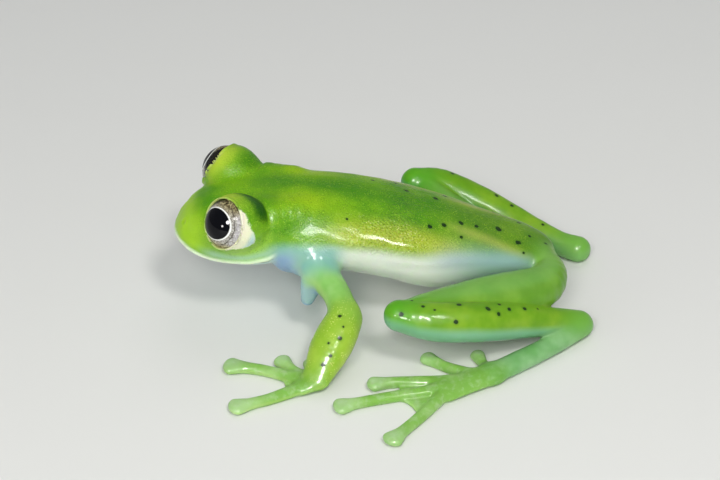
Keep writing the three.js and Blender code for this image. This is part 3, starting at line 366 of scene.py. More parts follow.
def body_detail(x, y, z, F):
    """Soft folds and lumps of the trunk and limbs, in millimetres."""
    out = 0.012 * waves(x, y, z, 0.9, 3) + 0.014 * waves(x, y, z, 2.2, 5)
    ax = np.abs(x)
    trunk = 1 - smooth(0.0, 0.25, F["body"])
    # flank crease above the belly and two soft hip ridges
    out -= trunk * 0.040 * bump(z, 5.05 - 0.10 * y, 0.22) * smooth(1.0, 3.0, y) * (1 - smooth(8.0, 10.0, y)) * smooth(2.4, 3.4, ax)
    out += trunk * 0.030 * bump(ax, 1.55, 0.50) * smooth(3.0, 5.5, y) * (1 - smooth(9.8, 11.2, y)) * (z > 4.4)
    # throat crease between chin and chest
    out -= trunk * 0.05 * bump(y, -4.25, 0.16) * (1 - smooth(4.0, 5.0, z))
    # joints and discs of the digits
    for side, sgn in SIDES.items():
        for f in FINGERS + TOES[side]:
            n = math.hypot(f[1][0] - f[0][0], f[1][1] - f[0][1])
            for k in (0.40, 0.72):
                if k * n > 1.4:
                    p = on_digit(f, k)
                    out += 0.045 * bump(np.sqrt((x - sgn * p[0]) ** 2 + (y - p[1]) ** 2), 0, 0.38) * (z < 1.1)
            r = np.sqrt((x - sgn * f[1][0]) ** 2 + (y - f[1][1]) ** 2)
            out += (0.03 * bump(r, 0.62 * f[5], 0.16) - 0.05 * bump(r, 0.0, 0.42 * f[5])) * (z < 1.1)
    # wrinkles of the armpit
    for k in (0, 1, 2):
        out -= trunk * 0.030 * bump(y, -1.55 + 0.42 * k + 0.25 * (5.3 - z), 0.10) * bump(z, 4.5, 0.55) * smooth(2.8, 3.6, ax)
    return out


def flesh(x, y, z, detail=True):
    F = fields(x, y, z)
    body = F["body"]
    if detail:
        body = body - face_detail(x, y, z)
    d = body
    for side in SIDES:
        d = blend(blend(d, F[side]["arm"], 0.9), F[side]["thigh"], 0.5)
    if detail:
        # lid rims, drawn tight over the balls
        for side in SIDES:
            a, u, v = in_eye(side, x, y, z)
            rim = np.sqrt((np.sqrt(u * u + v * v) - LID_RADIUS) ** 2 + (a - LID_ALONG) ** 2) - LID_THICK
            sheath = np.maximum(np.sqrt(a * a + u * u + v * v) - SHEATH, a - LID_ALONG)
            d = blend(blend(d, sheath, 0.10), rim, 0.14)
    for side in SIDES:
        d = blend(d, blend(F[side]["shank"], F[side]["lower"], 0.14), 0.14)
    if detail:
        d = d - body_detail(x, y, z, F) * smooth(0.25, 1.1, z)
        for side in SIDES:
            a, u, v = in_eye(side, x, y, z)
            hole = np.maximum(np.sqrt(u * u + v * v) - OPENING_RADIUS, SOCKET_ALONG - a)
            d = carve(d, -hole, 0.10)
    return np.maximum(d + 0.03, -z)


# ---------------------------------------------------------------- skin of the field
def skin_of(f, lo, hi, h, coarse=6):
    """Points and four-sided faces of the surface f = 0, found near the surface only."""
    lo, hi = np.array(lo, float), np.array(hi, float)
    H = h * coarse
    n = np.ceil((hi - lo) / H).astype(int)
    axes = [lo[i] + H * np.arange(n[i] + 1) for i in range(3)]
    G = np.stack(np.meshgrid(*axes, indexing="ij"), -1).reshape(-1, 3)
    fc = f(G[:, 0], G[:, 1], G[:, 2]).reshape(n + 1)
    near = np.zeros(n, bool)
    low, high = np.full(n, 1e9), np.full(n, -1e9)
    for i in (0, 1):
        for j in (0, 1):
            for k in (0, 1):
                c = fc[i:n[0] + i, j:n[1] + j, k:n[2] + k]
                near |= np.abs(c) < H * 1.35
                low, high = np.minimum(low, c), np.maximum(high, c)
    near |= (low < 0) & (high > 0)
    N = n * coarse + 1
    value = np.ones(N, np.float32)
    up = np.repeat(np.repeat(np.repeat(fc[:-1, :-1, :-1], coarse, 0), coarse, 1), coarse, 2)
    value[:N[0] - 1, :N[1] - 1, :N[2] - 1] = np.where(up < 0, -1, 1)
    r = np.arange(coarse + 1)
    off = np.stack(np.meshgrid(r, r, r, indexing="ij"), -1).reshape(-1, 3)
    idx = (np.argwhere(near)[:, None, :] * coarse + off[None]).reshape(-1, 3)
    lin = np.unique(np.ravel_multi_index(idx.T, N))
    P = lo + np.stack(np.unravel_index(lin, N), 1) * h
    out = np.empty(len(P))
    for s in range(0, len(P), 400000):
        q = P[s:s + 400000]
        out[s:s + 400000] = f(q[:, 0], q[:, 1], q[:, 2])
    value.reshape(-1)[lin] = out
    inside = value < 0
    count = np.zeros(N - 1, np.int8)
    corners = [(i, j, k) for i in (0, 1) for j in (0, 1) for k in (0, 1)]
    for i, j, k in corners:
        count += inside[i:N[0] - 1 + i, j:N[1] - 1 + j, k:N[2] - 1 + k]
    cells = np.argwhere((count > 0) & (count < 8))
    vid = np.full(N - 1, -1, np.int64)
    vid[tuple(cells.T)] = np.arange(len(cells))
    acc, cnt = np.zeros((len(cells), 3)), np.zeros(len(cells))
    for a in range(8):
        for b in range(a + 1, 8):
            ca, cb = np.array(corners[a]), np.array(corners[b])
            if np.abs(ca - cb).sum() != 1:
                continue
            va, vb = value[tuple((cells + ca).T)], value[tuple((cells + cb).T)]
            m = (va < 0) != (vb < 0)
            w = va / np.where(m, va - vb, 1)
            acc[m] += (ca + w[:, None] * (cb - ca))[m]
            cnt[m] += 1
    V = lo + (cells + acc / cnt[:, None]) * h
    quads = []
    for ax in range(3):
        e = np.zeros(3, int)
        e[ax] = 1
        A, B = inside[:N[0] - e[0], :N[1] - e[1], :N[2] - e[2]], inside[e[0]:, e[1]:, e[2]:]
        E = np.argwhere(A != B)
        u, v = (ax + 1) % 3, (ax + 2) % 3
        E = E[(E[:, u] > 0) & (E[:, v] > 0) & (E[:, u] < N[u] - 1) & (E[:, v] < N[v] - 1)]
        du, dv = np.zeros(3, int), np.zeros(3, int)
        du[u], dv[v] = 1, 1
        q = np.stack([vid[tuple((E - du - dv).T)], vid[tuple((E - dv).T)], vid[tuple(E.T)], vid[tuple((E - du).T)]], 1)
        flip = ~inside[tuple(E.T)]
        q[flip] = q[flip][:, ::-1]
        quads.append(q)
    return V, np.concatenate(quads)


def onto(f, V, rounds=3, e=0.01):
    """Moves points onto the surface f = 0; also returns the outward direction there."""
    for _ in range(rounds):
        x, y, z = V.T
        d = f(x, y, z)
        g = np.stack([f(x + e, y, z) - f(x - e, y, z), f(x, y + e, z) - f(x, y - e, z), f(x, y, z + e) - f(x, y, z - e)], 1) / (2 * e)
        V = V - np.clip(d / np.maximum((g * g).sum(1), 0.05), -0.1, 0.1)[:, None] * g
    return V, g / np.maximum(np.linalg.norm(g, axis=1), 1e-6)[:, None]


cell = CELL
verts, quads = skin_of(flesh, (-13.6, -12.4, -0.45), (16.8, 15.8, 9.9), cell)
verts, normals = onto(flesh, verts)
verts[:, 2] = np.where(verts[:, 2] < 0.02, 0.0, verts[:, 2])


def kept_bodies(V, Q, least=200):
    """Drops crumbs: closed bodies of fewer than `least` faces."""
    root = np.arange(len(V))
    while True:
        m = root[Q].min(1)
        new = root.copy()
        for k in range(4):
            np.minimum.at(new, Q[:, k], m)
        new = new[new]
        if (new == root).all():
            break
        root = new
    label = root[Q[:, 0]]
    ids, counts = np.unique(label, return_counts=True)
    return Q[np.isin(label, ids[counts >= least])], sorted(counts.tolist(), reverse=True)[:6]


quads, body_sizes = kept_bodies(verts, quads)
used = np.unique(quads)
renumber = np.full(len(verts), -1)
renumber[used] = np.arange(len(used))
verts, normals, quads = verts[used], normals[used], renumber[quads]


def finer(V, faces, chosen):
    """Splits each chosen four-sided face into four; a neighbour takes the new points into its own edge."""
    made, points, out = {}, [], []
    for q in chosen:
        for i in range(4):
            e = (min(q[i], q[(i + 1) % 4]), max(q[i], q[(i + 1) % 4]))
            if e not in made:
                made[e] = len(V) + len(points)
                points.append((V[e[0]] + V[e[1]]) / 2)
    for q in chosen:
        c = len(V) + len(points)
        points.append((V[q[0]] + V[q[1]] + V[q[2]] + V[q[3]]) / 4)
        h = [made[(min(q[i], q[(i + 1) % 4]), max(q[i], q[(i + 1) % 4]))] for i in range(4)]
        out += [[q[i], h[i], c, h[i - 1]] for i in range(4)]
    ends = {v for e in made for v in e}
    for f in faces:
        if not ends.isdisjoint(f):
            g = []
            for i, v in enumerate(f):
                g.append(v)
                w = f[(i + 1) % len(f)]
                h = made.get((min(v, w), max(v, w)))
                if h is not None:
                    g.append(h)
            f = g
        out.append(f)
    return np.array(points), out


faces = quads.tolist()
for reach in (0.34, 0.24):
    at_lid = np.zeros(len(verts), bool)
    for side in SIDES:
        a, u, v = in_eye(side, *verts.T)
        r = np.sqrt(u * u + v * v)
        at_lid |= np.hypot(r - LID_RADIUS, a - LID_ALONG) < reach
    chosen = [f for f in faces if len(f) == 4 and at_lid[f].any()]
    rest = [f for f in faces if len(f) != 4 or not at_lid[f].any()]
    more, faces = finer(verts, rest, chosen)
    more, more_normals = onto(flesh, more)
    verts, normals = np.concatenate([verts, more]), np.concatenate([normals, more_normals])
print("skin:", len(verts), "points,", len(faces), "faces, bodies", body_sizes)

skin_mesh = bpy.data.meshes.new("skin")
skin_mesh.from_pydata(((verts - ORIGIN) * MM).tolist(), [], faces)
skin_mesh.shade_smooth()
skin_mesh.update()
skin = bpy.data.objects.new("skin", skin_mesh)
bpy.context.scene.collection.objects.link(skin)


# ---------------------------------------------------------------- markings, with some painted light and shade, as soft masks named for what they show
def mask(name, values):
    a = skin_mesh.attributes.new(name, "FLOAT", "POINT")
    a.data.foreach_set("value", np.clip(values, 0, 1).astype(np.float32))


X, Y, Z = verts.T
AX = np.abs(X)
HX, HY = into_head(X, Y)
F = fields(X, Y, Z)
near_ = {k: np.minimum(F["left"][k], F["right"][k]) for k in ("arm", "upper", "fore", "hand", "foot", "tarsus", "thigh", "shank", "lower")}
near_["body"] = F["body"]


def share(*names, soft=0.22):
    """How much a point belongs to the named lengths, against the rest."""
    parts = ("body", "upper", "fore", "hand", "foot", "tarsus", "thigh", "shank")
    e = {k: np.exp(-np.maximum(near_[k], -0.4) / soft) for k in parts}
    return sum(e[n] for n in names) / sum(e.values())


wob = waves(X, Y, Z, 3.1, 11)
level_line = np.interp(Y, [-12, -9, -6, -4.4, -1.6, 0.6, 2.5, 5.0, 6.9, 8.8, 10.7, 12.6], [5.05, 5.0, 5.15, 5.75, 6.05, 5.90, 5.60, 5.22, 4.92, 4.50, 4.02, 3.2])
trunk_share = share("body")
mask("trunk", trunk_share)
mask("belly", trunk_share * (1 - smooth(-0.35, 0.45, Z - level_line + 0.06 * wob)))
mask("rear", smooth(3.5, 8.5, Y))
mask("groin", trunk_share * bump(Z, level_line - 0.15, 0.55) * smooth(3.5, 6.0, Y) * (1 - smooth(9.5, 12.0, Y)) * smooth(1.6, 2.4, AX))
throat = smooth(-6.6, -5.0, HY) * (1 - smooth(-1.9, -0.5, Y))
mask("throat", share("body", "upper") * throat * (1 - smooth(5.75, 6.55, Z + 0.06 * wob)) * (1 - smooth(4.3, 5.4, AX)))
mask("lilac", share("body", "upper") * throat * (1 - smooth(-4.8, -3.2, Y)) * (1 - smooth(5.1, 6.0, Z)))
s_lip = Z - lip_height(HY)
head_front = 1 - smooth(-6.0, -5.2, HY)
mask("lip", head_front * trunk_share * smooth(-0.16, -0.05, s_lip) * (1 - smooth(0.14, 0.32, s_lip)))
mask("lip_blue", head_front * trunk_share * bump(s_lip, 0.50, 0.24) * smooth(-10.6, -9.2, HY))
mask("jaw", head_front * trunk_share * (1 - smooth(-0.10, 0.02, s_lip)))
mask("cheek", bump(np.sqrt((HY + 7.4) ** 2 + ((Z - 5.9) * 1.2) ** 2), 0, 1.7) * smooth(2.4, 3.4, AX))
mask("snout", (1 - smooth(-10.9, -8.6, HY)) * smooth(5.1, 5.9, Z) * (1 - smooth(6.9, 7.8, Z)))
# crown and shoulder colours, with painted glints on the flank and painted shade along the back's middle line
gold_z = np.interp(Y, [-3, 1.2, 3, 5, 6.2, 8], [6.90, 6.65, 6.35, 5.80, 5.45, 5.0])
mask("gold", trunk_share * bump(Z, gold_z, 0.85) * smooth(-3.6, -0.2, Y) * (1 - smooth(4.6, 8.8, Y)) * smooth(1.6, 3.2, AX))
# painted highlight: bright dots on the flank around the wet highlight, standing for glints
mask("painted_glints", trunk_share * bump(Z, gold_z + 0.25, 0.75) * bump(Y, 1.6, 2.6) * smooth(1.9, 2.6, AX))
stripe_x = np.interp(Y, [4.5, 5.95, 8.2, 10.7], [1.55, 1.63, 1.75, 2.25])
mask("stripe", trunk_share * bump(AX, stripe_x, 0.42) * smooth(4.4, 7.0, Y) * (1 - smooth(10.4, 11.6, Y)) * smooth(-0.2, 0.3, Z - level_line))
mask("patch", trunk_share * np.exp(-(((Y + 3.3) / 1.9) ** 2 + ((AX - 1.75) / 0.95) ** 2)) * smooth(6.2, 7.0, Z))
# edge: darker green along the middle line of the back, from crown to rump; painted shade standing for the dark far edge
# of the back
mask("edge", trunk_share * (1 - smooth(0.2, 1.6, AX)) * smooth(-7.5, -4.8, Y) * (1 - smooth(6.5, 10.5, Y)))
ring, white, pale_edge, crescent_pigment_and_shade, lid_gold = (np.zeros_like(X) for _ in range(5))
WHITE_REACH = [(-70, 0.98), (-56, 0.80), (-46, 0.55), (-36, 0.18), (-28, -0.12), (-16, -0.42), (-6, -0.30), (3, 0.0), (12, 0.25), (26, 0.50), (44, 0.62), (60, 0.90)]
for side, sgn in SIDES.items():
    a, u, v = in_eye(side, X, Y, Z)
    r = np.sqrt(u * u + v * v)
    R = np.sqrt(a * a + r * r)
    theta = np.degrees(np.arctan2(v, u * sgn))            # 0 towards the tail, 90 upwards
    on_ball = 1 - smooth(2.15, 2.45, R)
    reach = np.interp(theta, [p[0] for p in WHITE_REACH], [p[1] for p in WHITE_REACH])
    w = on_ball * smooth(reach - 0.32, reach + 0.32, a) * (r > 1.3) * smooth(-78, -48, theta) * (1 - smooth(46, 70, theta))
    white = np.maximum(white, w)
    pale_edge = np.maximum(pale_edge, w * (1 - smooth(-0.1, 0.4, a)))
    ring = np.maximum(ring, on_ball * bump(r, 1.53, 0.085) * (a > 0.6) * (0.25 + 0.75 * smooth(20, -25, theta) * smooth(-178, -140, theta) + 0.40 * smooth(80, 100, theta)))
    # dark green crescent at the back of each eye dome: partly the skin's own colour, partly painted shade behind the
    # dome; stronger on the left eye
    crescent_pigment_and_shade = np.maximum(crescent_pigment_and_shade, (1 - smooth(2.12, 2.26, R)) * smooth(8, 44, theta) * (1 - smooth(100, 145, theta)) * (1 - smooth(-0.80, 0.62, a)) * smooth(-1.9, -1.4, a) * (1.0 if side == "left" else 0.35))
    lid_gold = np.maximum(lid_gold, on_ball * bump(theta, 125, 55) * bump(a, 0.60, 0.70))
mask("pale_edge", pale_edge)
mask("lid_ring", ring)
mask("white", white)
mask("crescent_pigment_and_shade", crescent_pigment_and_shade)
mask("lid_gold", lid_gold)
mask("upper_arm", share("upper"))
mask("forearm", share("fore"))
mask("pale_limb", share("hand", "foot"))
mask("tarsal", share("tarsus"))
mask("thigh", share("thigh"))
shank_share = share("shank")
mask("shank", shank_share)
low = np.zeros_like(X)
for side in SIDES:
    st = np.array(on_side(side, SHANK[side]))
    k = np.argmin(((verts[:, None, :2] - st[None, :, :2]) ** 2).sum(2), 1)
    yy = np.clip(Y, st[:, 1].min(), st[:, 1].max())
    low = np.where(X * SIDES[side] > 0, Z - np.interp(yy, st[:, 1], st[:, 2]), low)
mask("shank_low", shank_share * (1 - smooth(-0.12, 0.50, low + 0.05 * wob)))
mask("knee", np.maximum(*[bump(np.sqrt((X - SIDES[s] * SHANK[s][0][0]) ** 2 + (Y - SHANK[s][0][1]) ** 2 + (Z - SHANK[s][0][2]) ** 2), 0.6, 1.2) for s in SIDES]))
mask("heel", np.maximum(*[bump(np.sqrt((X - SIDES[s] * SHANK[s][5][0]) ** 2 + (Y - SHANK[s][5][1]) ** 2 + (Z - SHANK[s][5][2]) ** 2), 0.4, 1.1) for s in SIDES]))
mask("thigh_top", share("thigh") * smooth(0.72, 0.98, normals[:, 2]))
hook = np.minimum(LIMBS["left"]["spine"](X, Y, Z), LIMBS["right"]["spine"](X, Y, Z))
mask("hook", (1 - smooth(0.05, 0.35, hook)) * (1 - smooth(3.6, 4.3, Z)))
# rim: pale band where arms and hands face sideways; painted light standing for light glowing through the thin skin edge
mask("rim", share("fore", "hand", "upper") * (1 - smooth(0.05, 0.55, np.abs(normals[:, 2]))) * 0.6)
mask("disc", np.maximum.reduce([bump(np.sqrt((X - SIDES[s] * d[1][0]) ** 2 + (Y - d[1][1]) ** 2), 0, d[5] * 1.15) for s in SIDES for d in FINGERS + TOES[s]]) * (Z < 1.0))
r_nostril = np.sqrt((np.abs(HX) - NOSTRIL[0]) ** 2 + (HY - NOSTRIL[1]) ** 2 + (Z - NOSTRIL[2]) ** 2)
mask("nostril", bump(r_nostril, 0, 0.12))
mask("granular", trunk_share * smooth(-11.5, -8.0, Y) * smooth(3.8, 5.0, Z))
mask("beads", trunk_share * bump(Y, 1.8, 2.2) * smooth(5.4, 6.0, Z) * (1 - smooth(7.0, 7.8, Z)))
wet = trunk_share * bump(np.sqrt((Y - 2.0) ** 2 / 3.0 + (Z - 6.5) ** 2 * 2.0), 0, 1.0) * (X > 0)
wet = np.maximum(wet, trunk_share * 0.5 * bump(Y, 2.0, 1.6) * bump(Z, 6.5, 0.7) * (X < 0))
mask("wet", wet)
limb_share = 1 - trunk_share
folded = np.where(X < 0, share("thigh", "shank"), 0)
mask("gloss", 0.10 * trunk_share + 0.34 * limb_share * (1 - 0.75 * folded) + 0.88 * wet)
mask("mouth_slit", head_front * trunk_share * bump(s_lip, -0.14, 0.055))

# small dark flecks, each at its own place and size, in millimetres
FLECKS = [
    (-1.26, 2.98, 7.14, 0.15), (-1.13, 4.76, 6.62, 0.17), (-2.08, 5.44, 6.18, 0.15), (-1.72, 0.83, 7.60, 0.11), (2.12, 4.37, 6.52, 0.16),
    (1.64, 5.26, 6.36, 0.17), (1.01, 6.35, 6.10, 0.18), (0.84, 7.37, 5.78, 0.16), (0.39, 8.73, 5.34, 0.22), (2.22, 6.38, 5.77, 0.11),
    (1.18, 9.97, 4.79, 0.20), (0.47, 11.83, 4.23, 0.13), (2.74, -0.81, 7.51, 0.09), (1.97, 10.38, 4.56, 0.10),
    (-2.6, 7.2, 5.50, 0.15), (-1.9, 8.6, 5.20, 0.14), (-2.2, 2.3, 7.0, 0.12), (-2.9, 4.1, 6.2, 0.13), (-1.2, 10.2, 4.85, 0.15), (-2.7, -1.1, 7.6, 0.10), (0.2, 10.9, 4.8, 0.12),
    (-7.27, 9.10, 3.00, 0.16), (-6.63, 10.07, 2.64, 0.14), (-8.06, 8.23, 3.26, 0.10), (-8.56, 3.93, 4.38, 0.12), (-8.5, 6.2, 3.95, 0.13), (-5.3, 12.1, 1.9, 0.11), (-2.07, 5.37, 6.20, 0.13),
    (7.90, 5.98, 4.62, 0.17), (7.05, 8.57, 4.20, 0.12), (7.84, 7.76, 4.28, 0.17), (7.30, 9.18, 3.83, 0.13), (6.73, 10.12, 3.50, 0.14), (7.95, 8.49, 3.91, 0.15), (6.17, 11.01, 3.12, 0.09),
    (9.06, 5.82, 4.13, 0.15), (8.66, 2.47, 4.48, 0.16), (8.36, 3.83, 4.83, 0.11), (8.64, 4.52, 4.72, 0.08), (7.71, 3.19, 4.80, 0.09),
    (7.85, -1.28, 3.75, 0.12), (9.07, -1.21, 2.97, 0.14), (9.92, -1.76, 2.24, 0.11), (10.22, -2.24, 1.86, 0.15), (8.5, -1.0, 3.4, 0.08), (9.3, -1.9, 2.7, 0.09),
    (-7.85, -1.28, 3.75, 0.12), (-9.07, -1.21, 2.97, 0.14), (-9.92, -1.76, 2.24, 0.11), (-10.1, -2.24, 1.9, 0.13)]
fleck = np.full_like(X, 4.0)
for i, (fx, fy, fz, fr) in enumerate(FLECKS):
    near = np.flatnonzero((np.abs(X - fx) < 1.4) & (np.abs(Y - fy) < 1.4) & (np.abs(Z - fz) < 1.4) & (normals[:, 2] > 0.0))
    at = verts[near[np.argmin(((verts[near] - (fx, fy, fz)) ** 2).sum(1))]]
    d = np.linalg.norm(verts[near] - at, axis=1)
    fleck[near] = np.minimum(fleck[near], d / fr)
fleck = fleck / 4.0
mask("fleck", fleck)


# ---------------------------------------------------------------- materials
def srgb(r, g, b):
    def one(c):
        c /= 255.0
        return c / 12.92 if c <= 0.04045 else ((c + 0.055) / 1.055) ** 2.4
    return (one(r), one(g), one(b), 1.0)


class Nodes:
    """Short calls to build one material's nodes."""

    def __init__(self, name):
        self.mat = bpy.data.materials.new(name)
        self.mat.use_nodes = True
        self.t = self.mat.node_tree
        self.bsdf = next(n for n in self.t.nodes if n.type == "BSDF_PRINCIPLED")
        self.coord = self.t.nodes.new("ShaderNodeTexCoord").outputs["Object"]

    def put(self, socket, value):
        if isinstance(value, bpy.types.NodeSocket):
            self.t.links.new(value, socket)
        else:
            socket.default_value = value

    def attr(self, name):
        n = self.t.nodes.new("ShaderNodeAttribute")
        n.attribute_name = name
        return n.outputs["Fac"]

    def math(self, op, a, b=0.0, clamp=False):
        n = self.t.nodes.new("ShaderNodeMath")
        n.operation, n.use_clamp = op, clamp
        self.put(n.inputs[0], a)
        self.put(n.inputs[1], b)
        return n.outputs[0]

    def mix(self, fac, a, b, kind="MIX"):
        n = self.t.nodes.new("ShaderNodeMix")
        n.data_type, n.blend_type, n.clamp_factor = "RGBA", kind, True
        self.put(n.inputs[0], fac)
        self.put(n.inputs[6], a)
        self.put(n.inputs[7], b)
        return n.outputs[2]

    def noise(self, scale, detail=3.0, rough=0.55):
        n = self.t.nodes.new("ShaderNodeTexNoise")
        n.inputs["Scale"].default_value, n.inputs["Detail"].default_value, n.inputs["Roughness"].default_value = scale, detail, rough
        self.t.links.new(self.coord, n.inputs["Vector"])
        return n.outputs["Fac"]

    def cells(self, scale, feature="F1"):
        n = self.t.nodes.new("ShaderNodeTexVoronoi")
        n.feature = feature
        n.inputs["Scale"].default_value = scale
        self.t.links.new(self.coord, n.inputs["Vector"])
        return n.outputs["Distance"]

    def ramp(self, value, a, b):
        n = self.t.nodes.new("ShaderNodeMapRange")
        n.interpolation_type = "SMOOTHSTEP"
        self.put(n.inputs["Value"], value)
        n.inputs["From Min"].default_value, n.inputs["From Max"].default_value = a, b
        return n.outputs["Result"]

    def bump(self, height, distance, strength=1.0, below=None):
        n = self.t.nodes.new("ShaderNodeBump")
        n.inputs["Strength"].default_value, n.inputs["Distance"].default_value = strength, distance
        self.put(n.inputs["Height"], height)
        if below is not None:
            self.t.links.new(below, n.inputs["Normal"])
        return n.outputs["Normal"]


# skin
m = Nodes("frog_skin")
back = m.mix(m.ramp(m.noise(420), 0.35, 0.68), srgb(78, 146, 10), srgb(116, 172, 16))
col = back
# painted shade: darker green along the back's middle line
col = m.mix(m.math("MULTIPLY", m.attr("edge"), 0.60), col, srgb(58, 130, 16))
col = m.mix(m.math("MULTIPLY", m.attr("patch"), 0.75), col, srgb(158, 196, 16))
col = m.mix(m.math("MULTIPLY", m.attr("snout"), 0.85), col, srgb(168, 212, 48))
col = m.mix(m.math("MULTIPLY", m.attr("cheek"), 0.85), col, srgb(176, 222, 96))
col = m.mix(m.math("MULTIPLY", m.math("MULTIPLY", m.attr("rear"), m.attr("trunk")), 0.55), col, srgb(98, 136, 36))
tan = m.mix(m.attr("rear"), srgb(166, 184, 40), srgb(132, 160, 56))
col = m.mix(m.math("MULTIPLY", m.attr("gold"), 0.9), col, m.mix(m.math("MULTIPLY", m.ramp(m.noise(9000, 3.0, 0.6), 0.42, 0.62), 0.45), tan, srgb(206, 212, 96)))
specks = m.math("MULTIPLY", m.ramp(m.cells(6800), 0.34, 0.12), m.ramp(m.noise(1100), 0.42, 0.6))
# painted highlight: pale glint dots on the flank, over the gold
col = m.mix(m.math("MULTIPLY", m.math("MULTIPLY", specks, m.attr("painted_glints")), 0.9), col, srgb(244, 244, 176))
darks = m.math("MULTIPLY", m.ramp(m.cells(9400), 0.42, 0.18), m.ramp(m.noise(1900), 0.38, 0.60))
col = m.mix(m.math("MULTIPLY", m.math("MULTIPLY", darks, m.attr("granular")), 0.50), col, srgb(34, 92, 8))
lights = m.math("MULTIPLY", m.ramp(m.cells(10400), 0.40, 0.16), m.ramp(m.noise(2300), 0.36, 0.60))
col = m.mix(m.math("MULTIPLY", m.math("MULTIPLY", lights, m.attr("granular")), 0.62), col, srgb(178, 214, 62))
col = m.mix(m.math("MULTIPLY", m.attr("stripe"), 0.55), col, srgb(176, 186, 92))
col = m.mix(m.math("MULTIPLY", m.attr("lid_gold"), 0.85), col, srgb(186, 212, 60))
# dark crescent on the eye domes: own dark green and painted shade
col = m.mix(m.math("MULTIPLY", m.ramp(m.math("ADD", m.attr("crescent_pigment_and_shade"), m.math("MULTIPLY", m.math("SUBTRACT", m.noise(5200, 5.0, 0.75), 0.5), 0.9)), 0.12, 1.0), 0.92), col, srgb(4, 78, 0))
# limbs
col = m.mix(m.attr("upper_arm"), col, m.mix(m.ramp(m.noise(500), 0.35, 0.7), srgb(130, 188, 92), srgb(152, 202, 118)))
col = m.mix(m.attr("forearm"), col, m.mix(m.ramp(m.noise(600), 0.35, 0.7), srgb(142, 184, 46), srgb(166, 200, 66)))
col = m.mix(m.math("MULTIPLY", m.math("MULTIPLY", specks, m.attr("forearm")), 0.75), col, srgb(236, 238, 140))
col = m.mix(m.attr("thigh"), col, m.mix(m.ramp(m.noise(450), 0.35, 0.7), srgb(100, 152, 44), srgb(124, 172, 64)))
col = m.mix(m.math("MULTIPLY", m.attr("thigh_top"), 0.45), col, srgb(120, 178, 92))
col = m.mix(m.attr("shank"), col, m.mix(m.ramp(m.noise(450), 0.35, 0.7), srgb(104, 158, 22), srgb(134, 176, 38)))
col = m.mix(m.math("MULTIPLY", m.attr("knee"), 0.75), col, srgb(78, 164, 30))
col = m.mix(m.math("MULTIPLY", m.attr("shank_low"), 0.85), col, srgb(124, 182, 152))
col = m.mix(m.attr("tarsal"), col, m.mix(m.ramp(m.noise(480), 0.35, 0.7), srgb(110, 168, 98), srgb(142, 190, 134)))
col = m.mix(m.attr("pale_limb"), col, m.mix(m.ramp(m.noise(480), 0.35, 0.7), srgb(128, 180, 76), srgb(158, 200, 118)))
col = m.mix(m.math("MULTIPLY", m.math("MULTIPLY", m.ramp(m.noise(2400, 4.0), 0.46, 0.70), m.attr("pale_limb")), 0.26), col, srgb(196, 216, 184))
col = m.mix(m.math("MULTIPLY", m.attr("heel"), 0.55), col, srgb(122, 182, 66))
col = m.mix(m.math("MULTIPLY", m.attr("disc"), 0.5), col, srgb(186, 214, 170))
# pale under parts
under = m.mix(m.attr("rear"), srgb(224, 232, 219), srgb(146, 182, 164))
col = m.mix(m.attr("belly"), col, under)
col = m.mix(m.math("MULTIPLY", m.attr("groin"), 0.65), col, m.mix(m.attr("rear"), srgb(186, 196, 210), srgb(150, 186, 190)))
col = m.mix(m.math("MULTIPLY", m.attr("throat"), 0.9), col, m.mix(m.ramp(m.noise(260), 0.35, 0.7), srgb(122, 180, 168), srgb(142, 188, 188)))
col = m.mix(m.math("MULTIPLY", m.attr("lilac"), 0.9), col, srgb(140, 168, 204))
col = m.mix(m.math("MULTIPLY", m.attr("hook"), 0.85), col, srgb(138, 173, 210))
col = m.mix(m.math("MULTIPLY", m.attr("jaw"), 0.85), col, srgb(196, 220, 214))
col = m.mix(m.math("MULTIPLY", m.attr("lip_blue"), 0.85), col, srgb(160, 200, 166))
col = m.mix(m.math("MULTIPLY", m.attr("lip"), 0.95), col, srgb(228, 246, 214))
col = m.mix(m.math("MULTIPLY", m.attr("mouth_slit"), 0.6), col, srgb(92, 120, 88))
# painted light: pale glowing edge on the sides of the arms and hands
col = m.mix(m.math("MULTIPLY", m.attr("rim"), 0.35), col, srgb(206, 226, 130))
# round the eye
ragged = m.ramp(m.math("ADD", m.attr("white"), m.math("MULTIPLY", m.math("SUBTRACT", m.noise(5600, 5.0, 0.75), 0.5), 1.5)), 0.30, 0.76)
col = m.mix(m.math("MULTIPLY", ragged, 0.95), col, m.mix(m.attr("pale_edge"), srgb(244, 247, 214), srgb(196, 222, 226)))
col = m.mix(m.math("MULTIPLY", m.attr("lid_ring"), 0.85), col, srgb(222, 232, 160))
col = m.mix(m.math("MULTIPLY", m.attr("nostril"), 0.55), col, srgb(74, 116, 20))
spot = m.math("ADD", m.math("MULTIPLY", m.attr("fleck"), 4.0), m.math("MULTIPLY", m.math("SUBTRACT", m.noise(2600, 4.0), 0.5), 1.1))
col = m.mix(m.math("MULTIPLY", m.ramp(spot, 2.1, 0.7), 0.35), col, srgb(40, 108, 16))
col = m.mix(m.math("MULTIPLY", m.ramp(spot, 1.15, 0.80), 0.95), col, srgb(10, 40, 12))
m.put(m.bsdf.inputs["Base Color"], col)
beads = m.bump(m.math("MULTIPLY", m.cells(5600), m.attr("beads")), 0.00016, 0.8)
grain = m.bump(m.math("MULTIPLY", m.cells(8600), m.attr("granular")), 0.00005, 0.45, beads)
fine = m.bump(m.noise(5200, 4.0), 0.00003, 0.35, grain)
m.put(m.bsdf.inputs["Normal"], fine)
m.put(m.bsdf.inputs["Roughness"], m.math("ADD", 0.27, m.math("MULTIPLY", m.noise(1700), 0.22)))
m.bsdf.inputs["Subsurface Weight"].default_value = 0.45
m.bsdf.inputs["Subsurface Radius"].default_value = (0.6, 1.0, 0.45)
m.bsdf.inputs["Subsurface Scale"].default_value = 0.0006
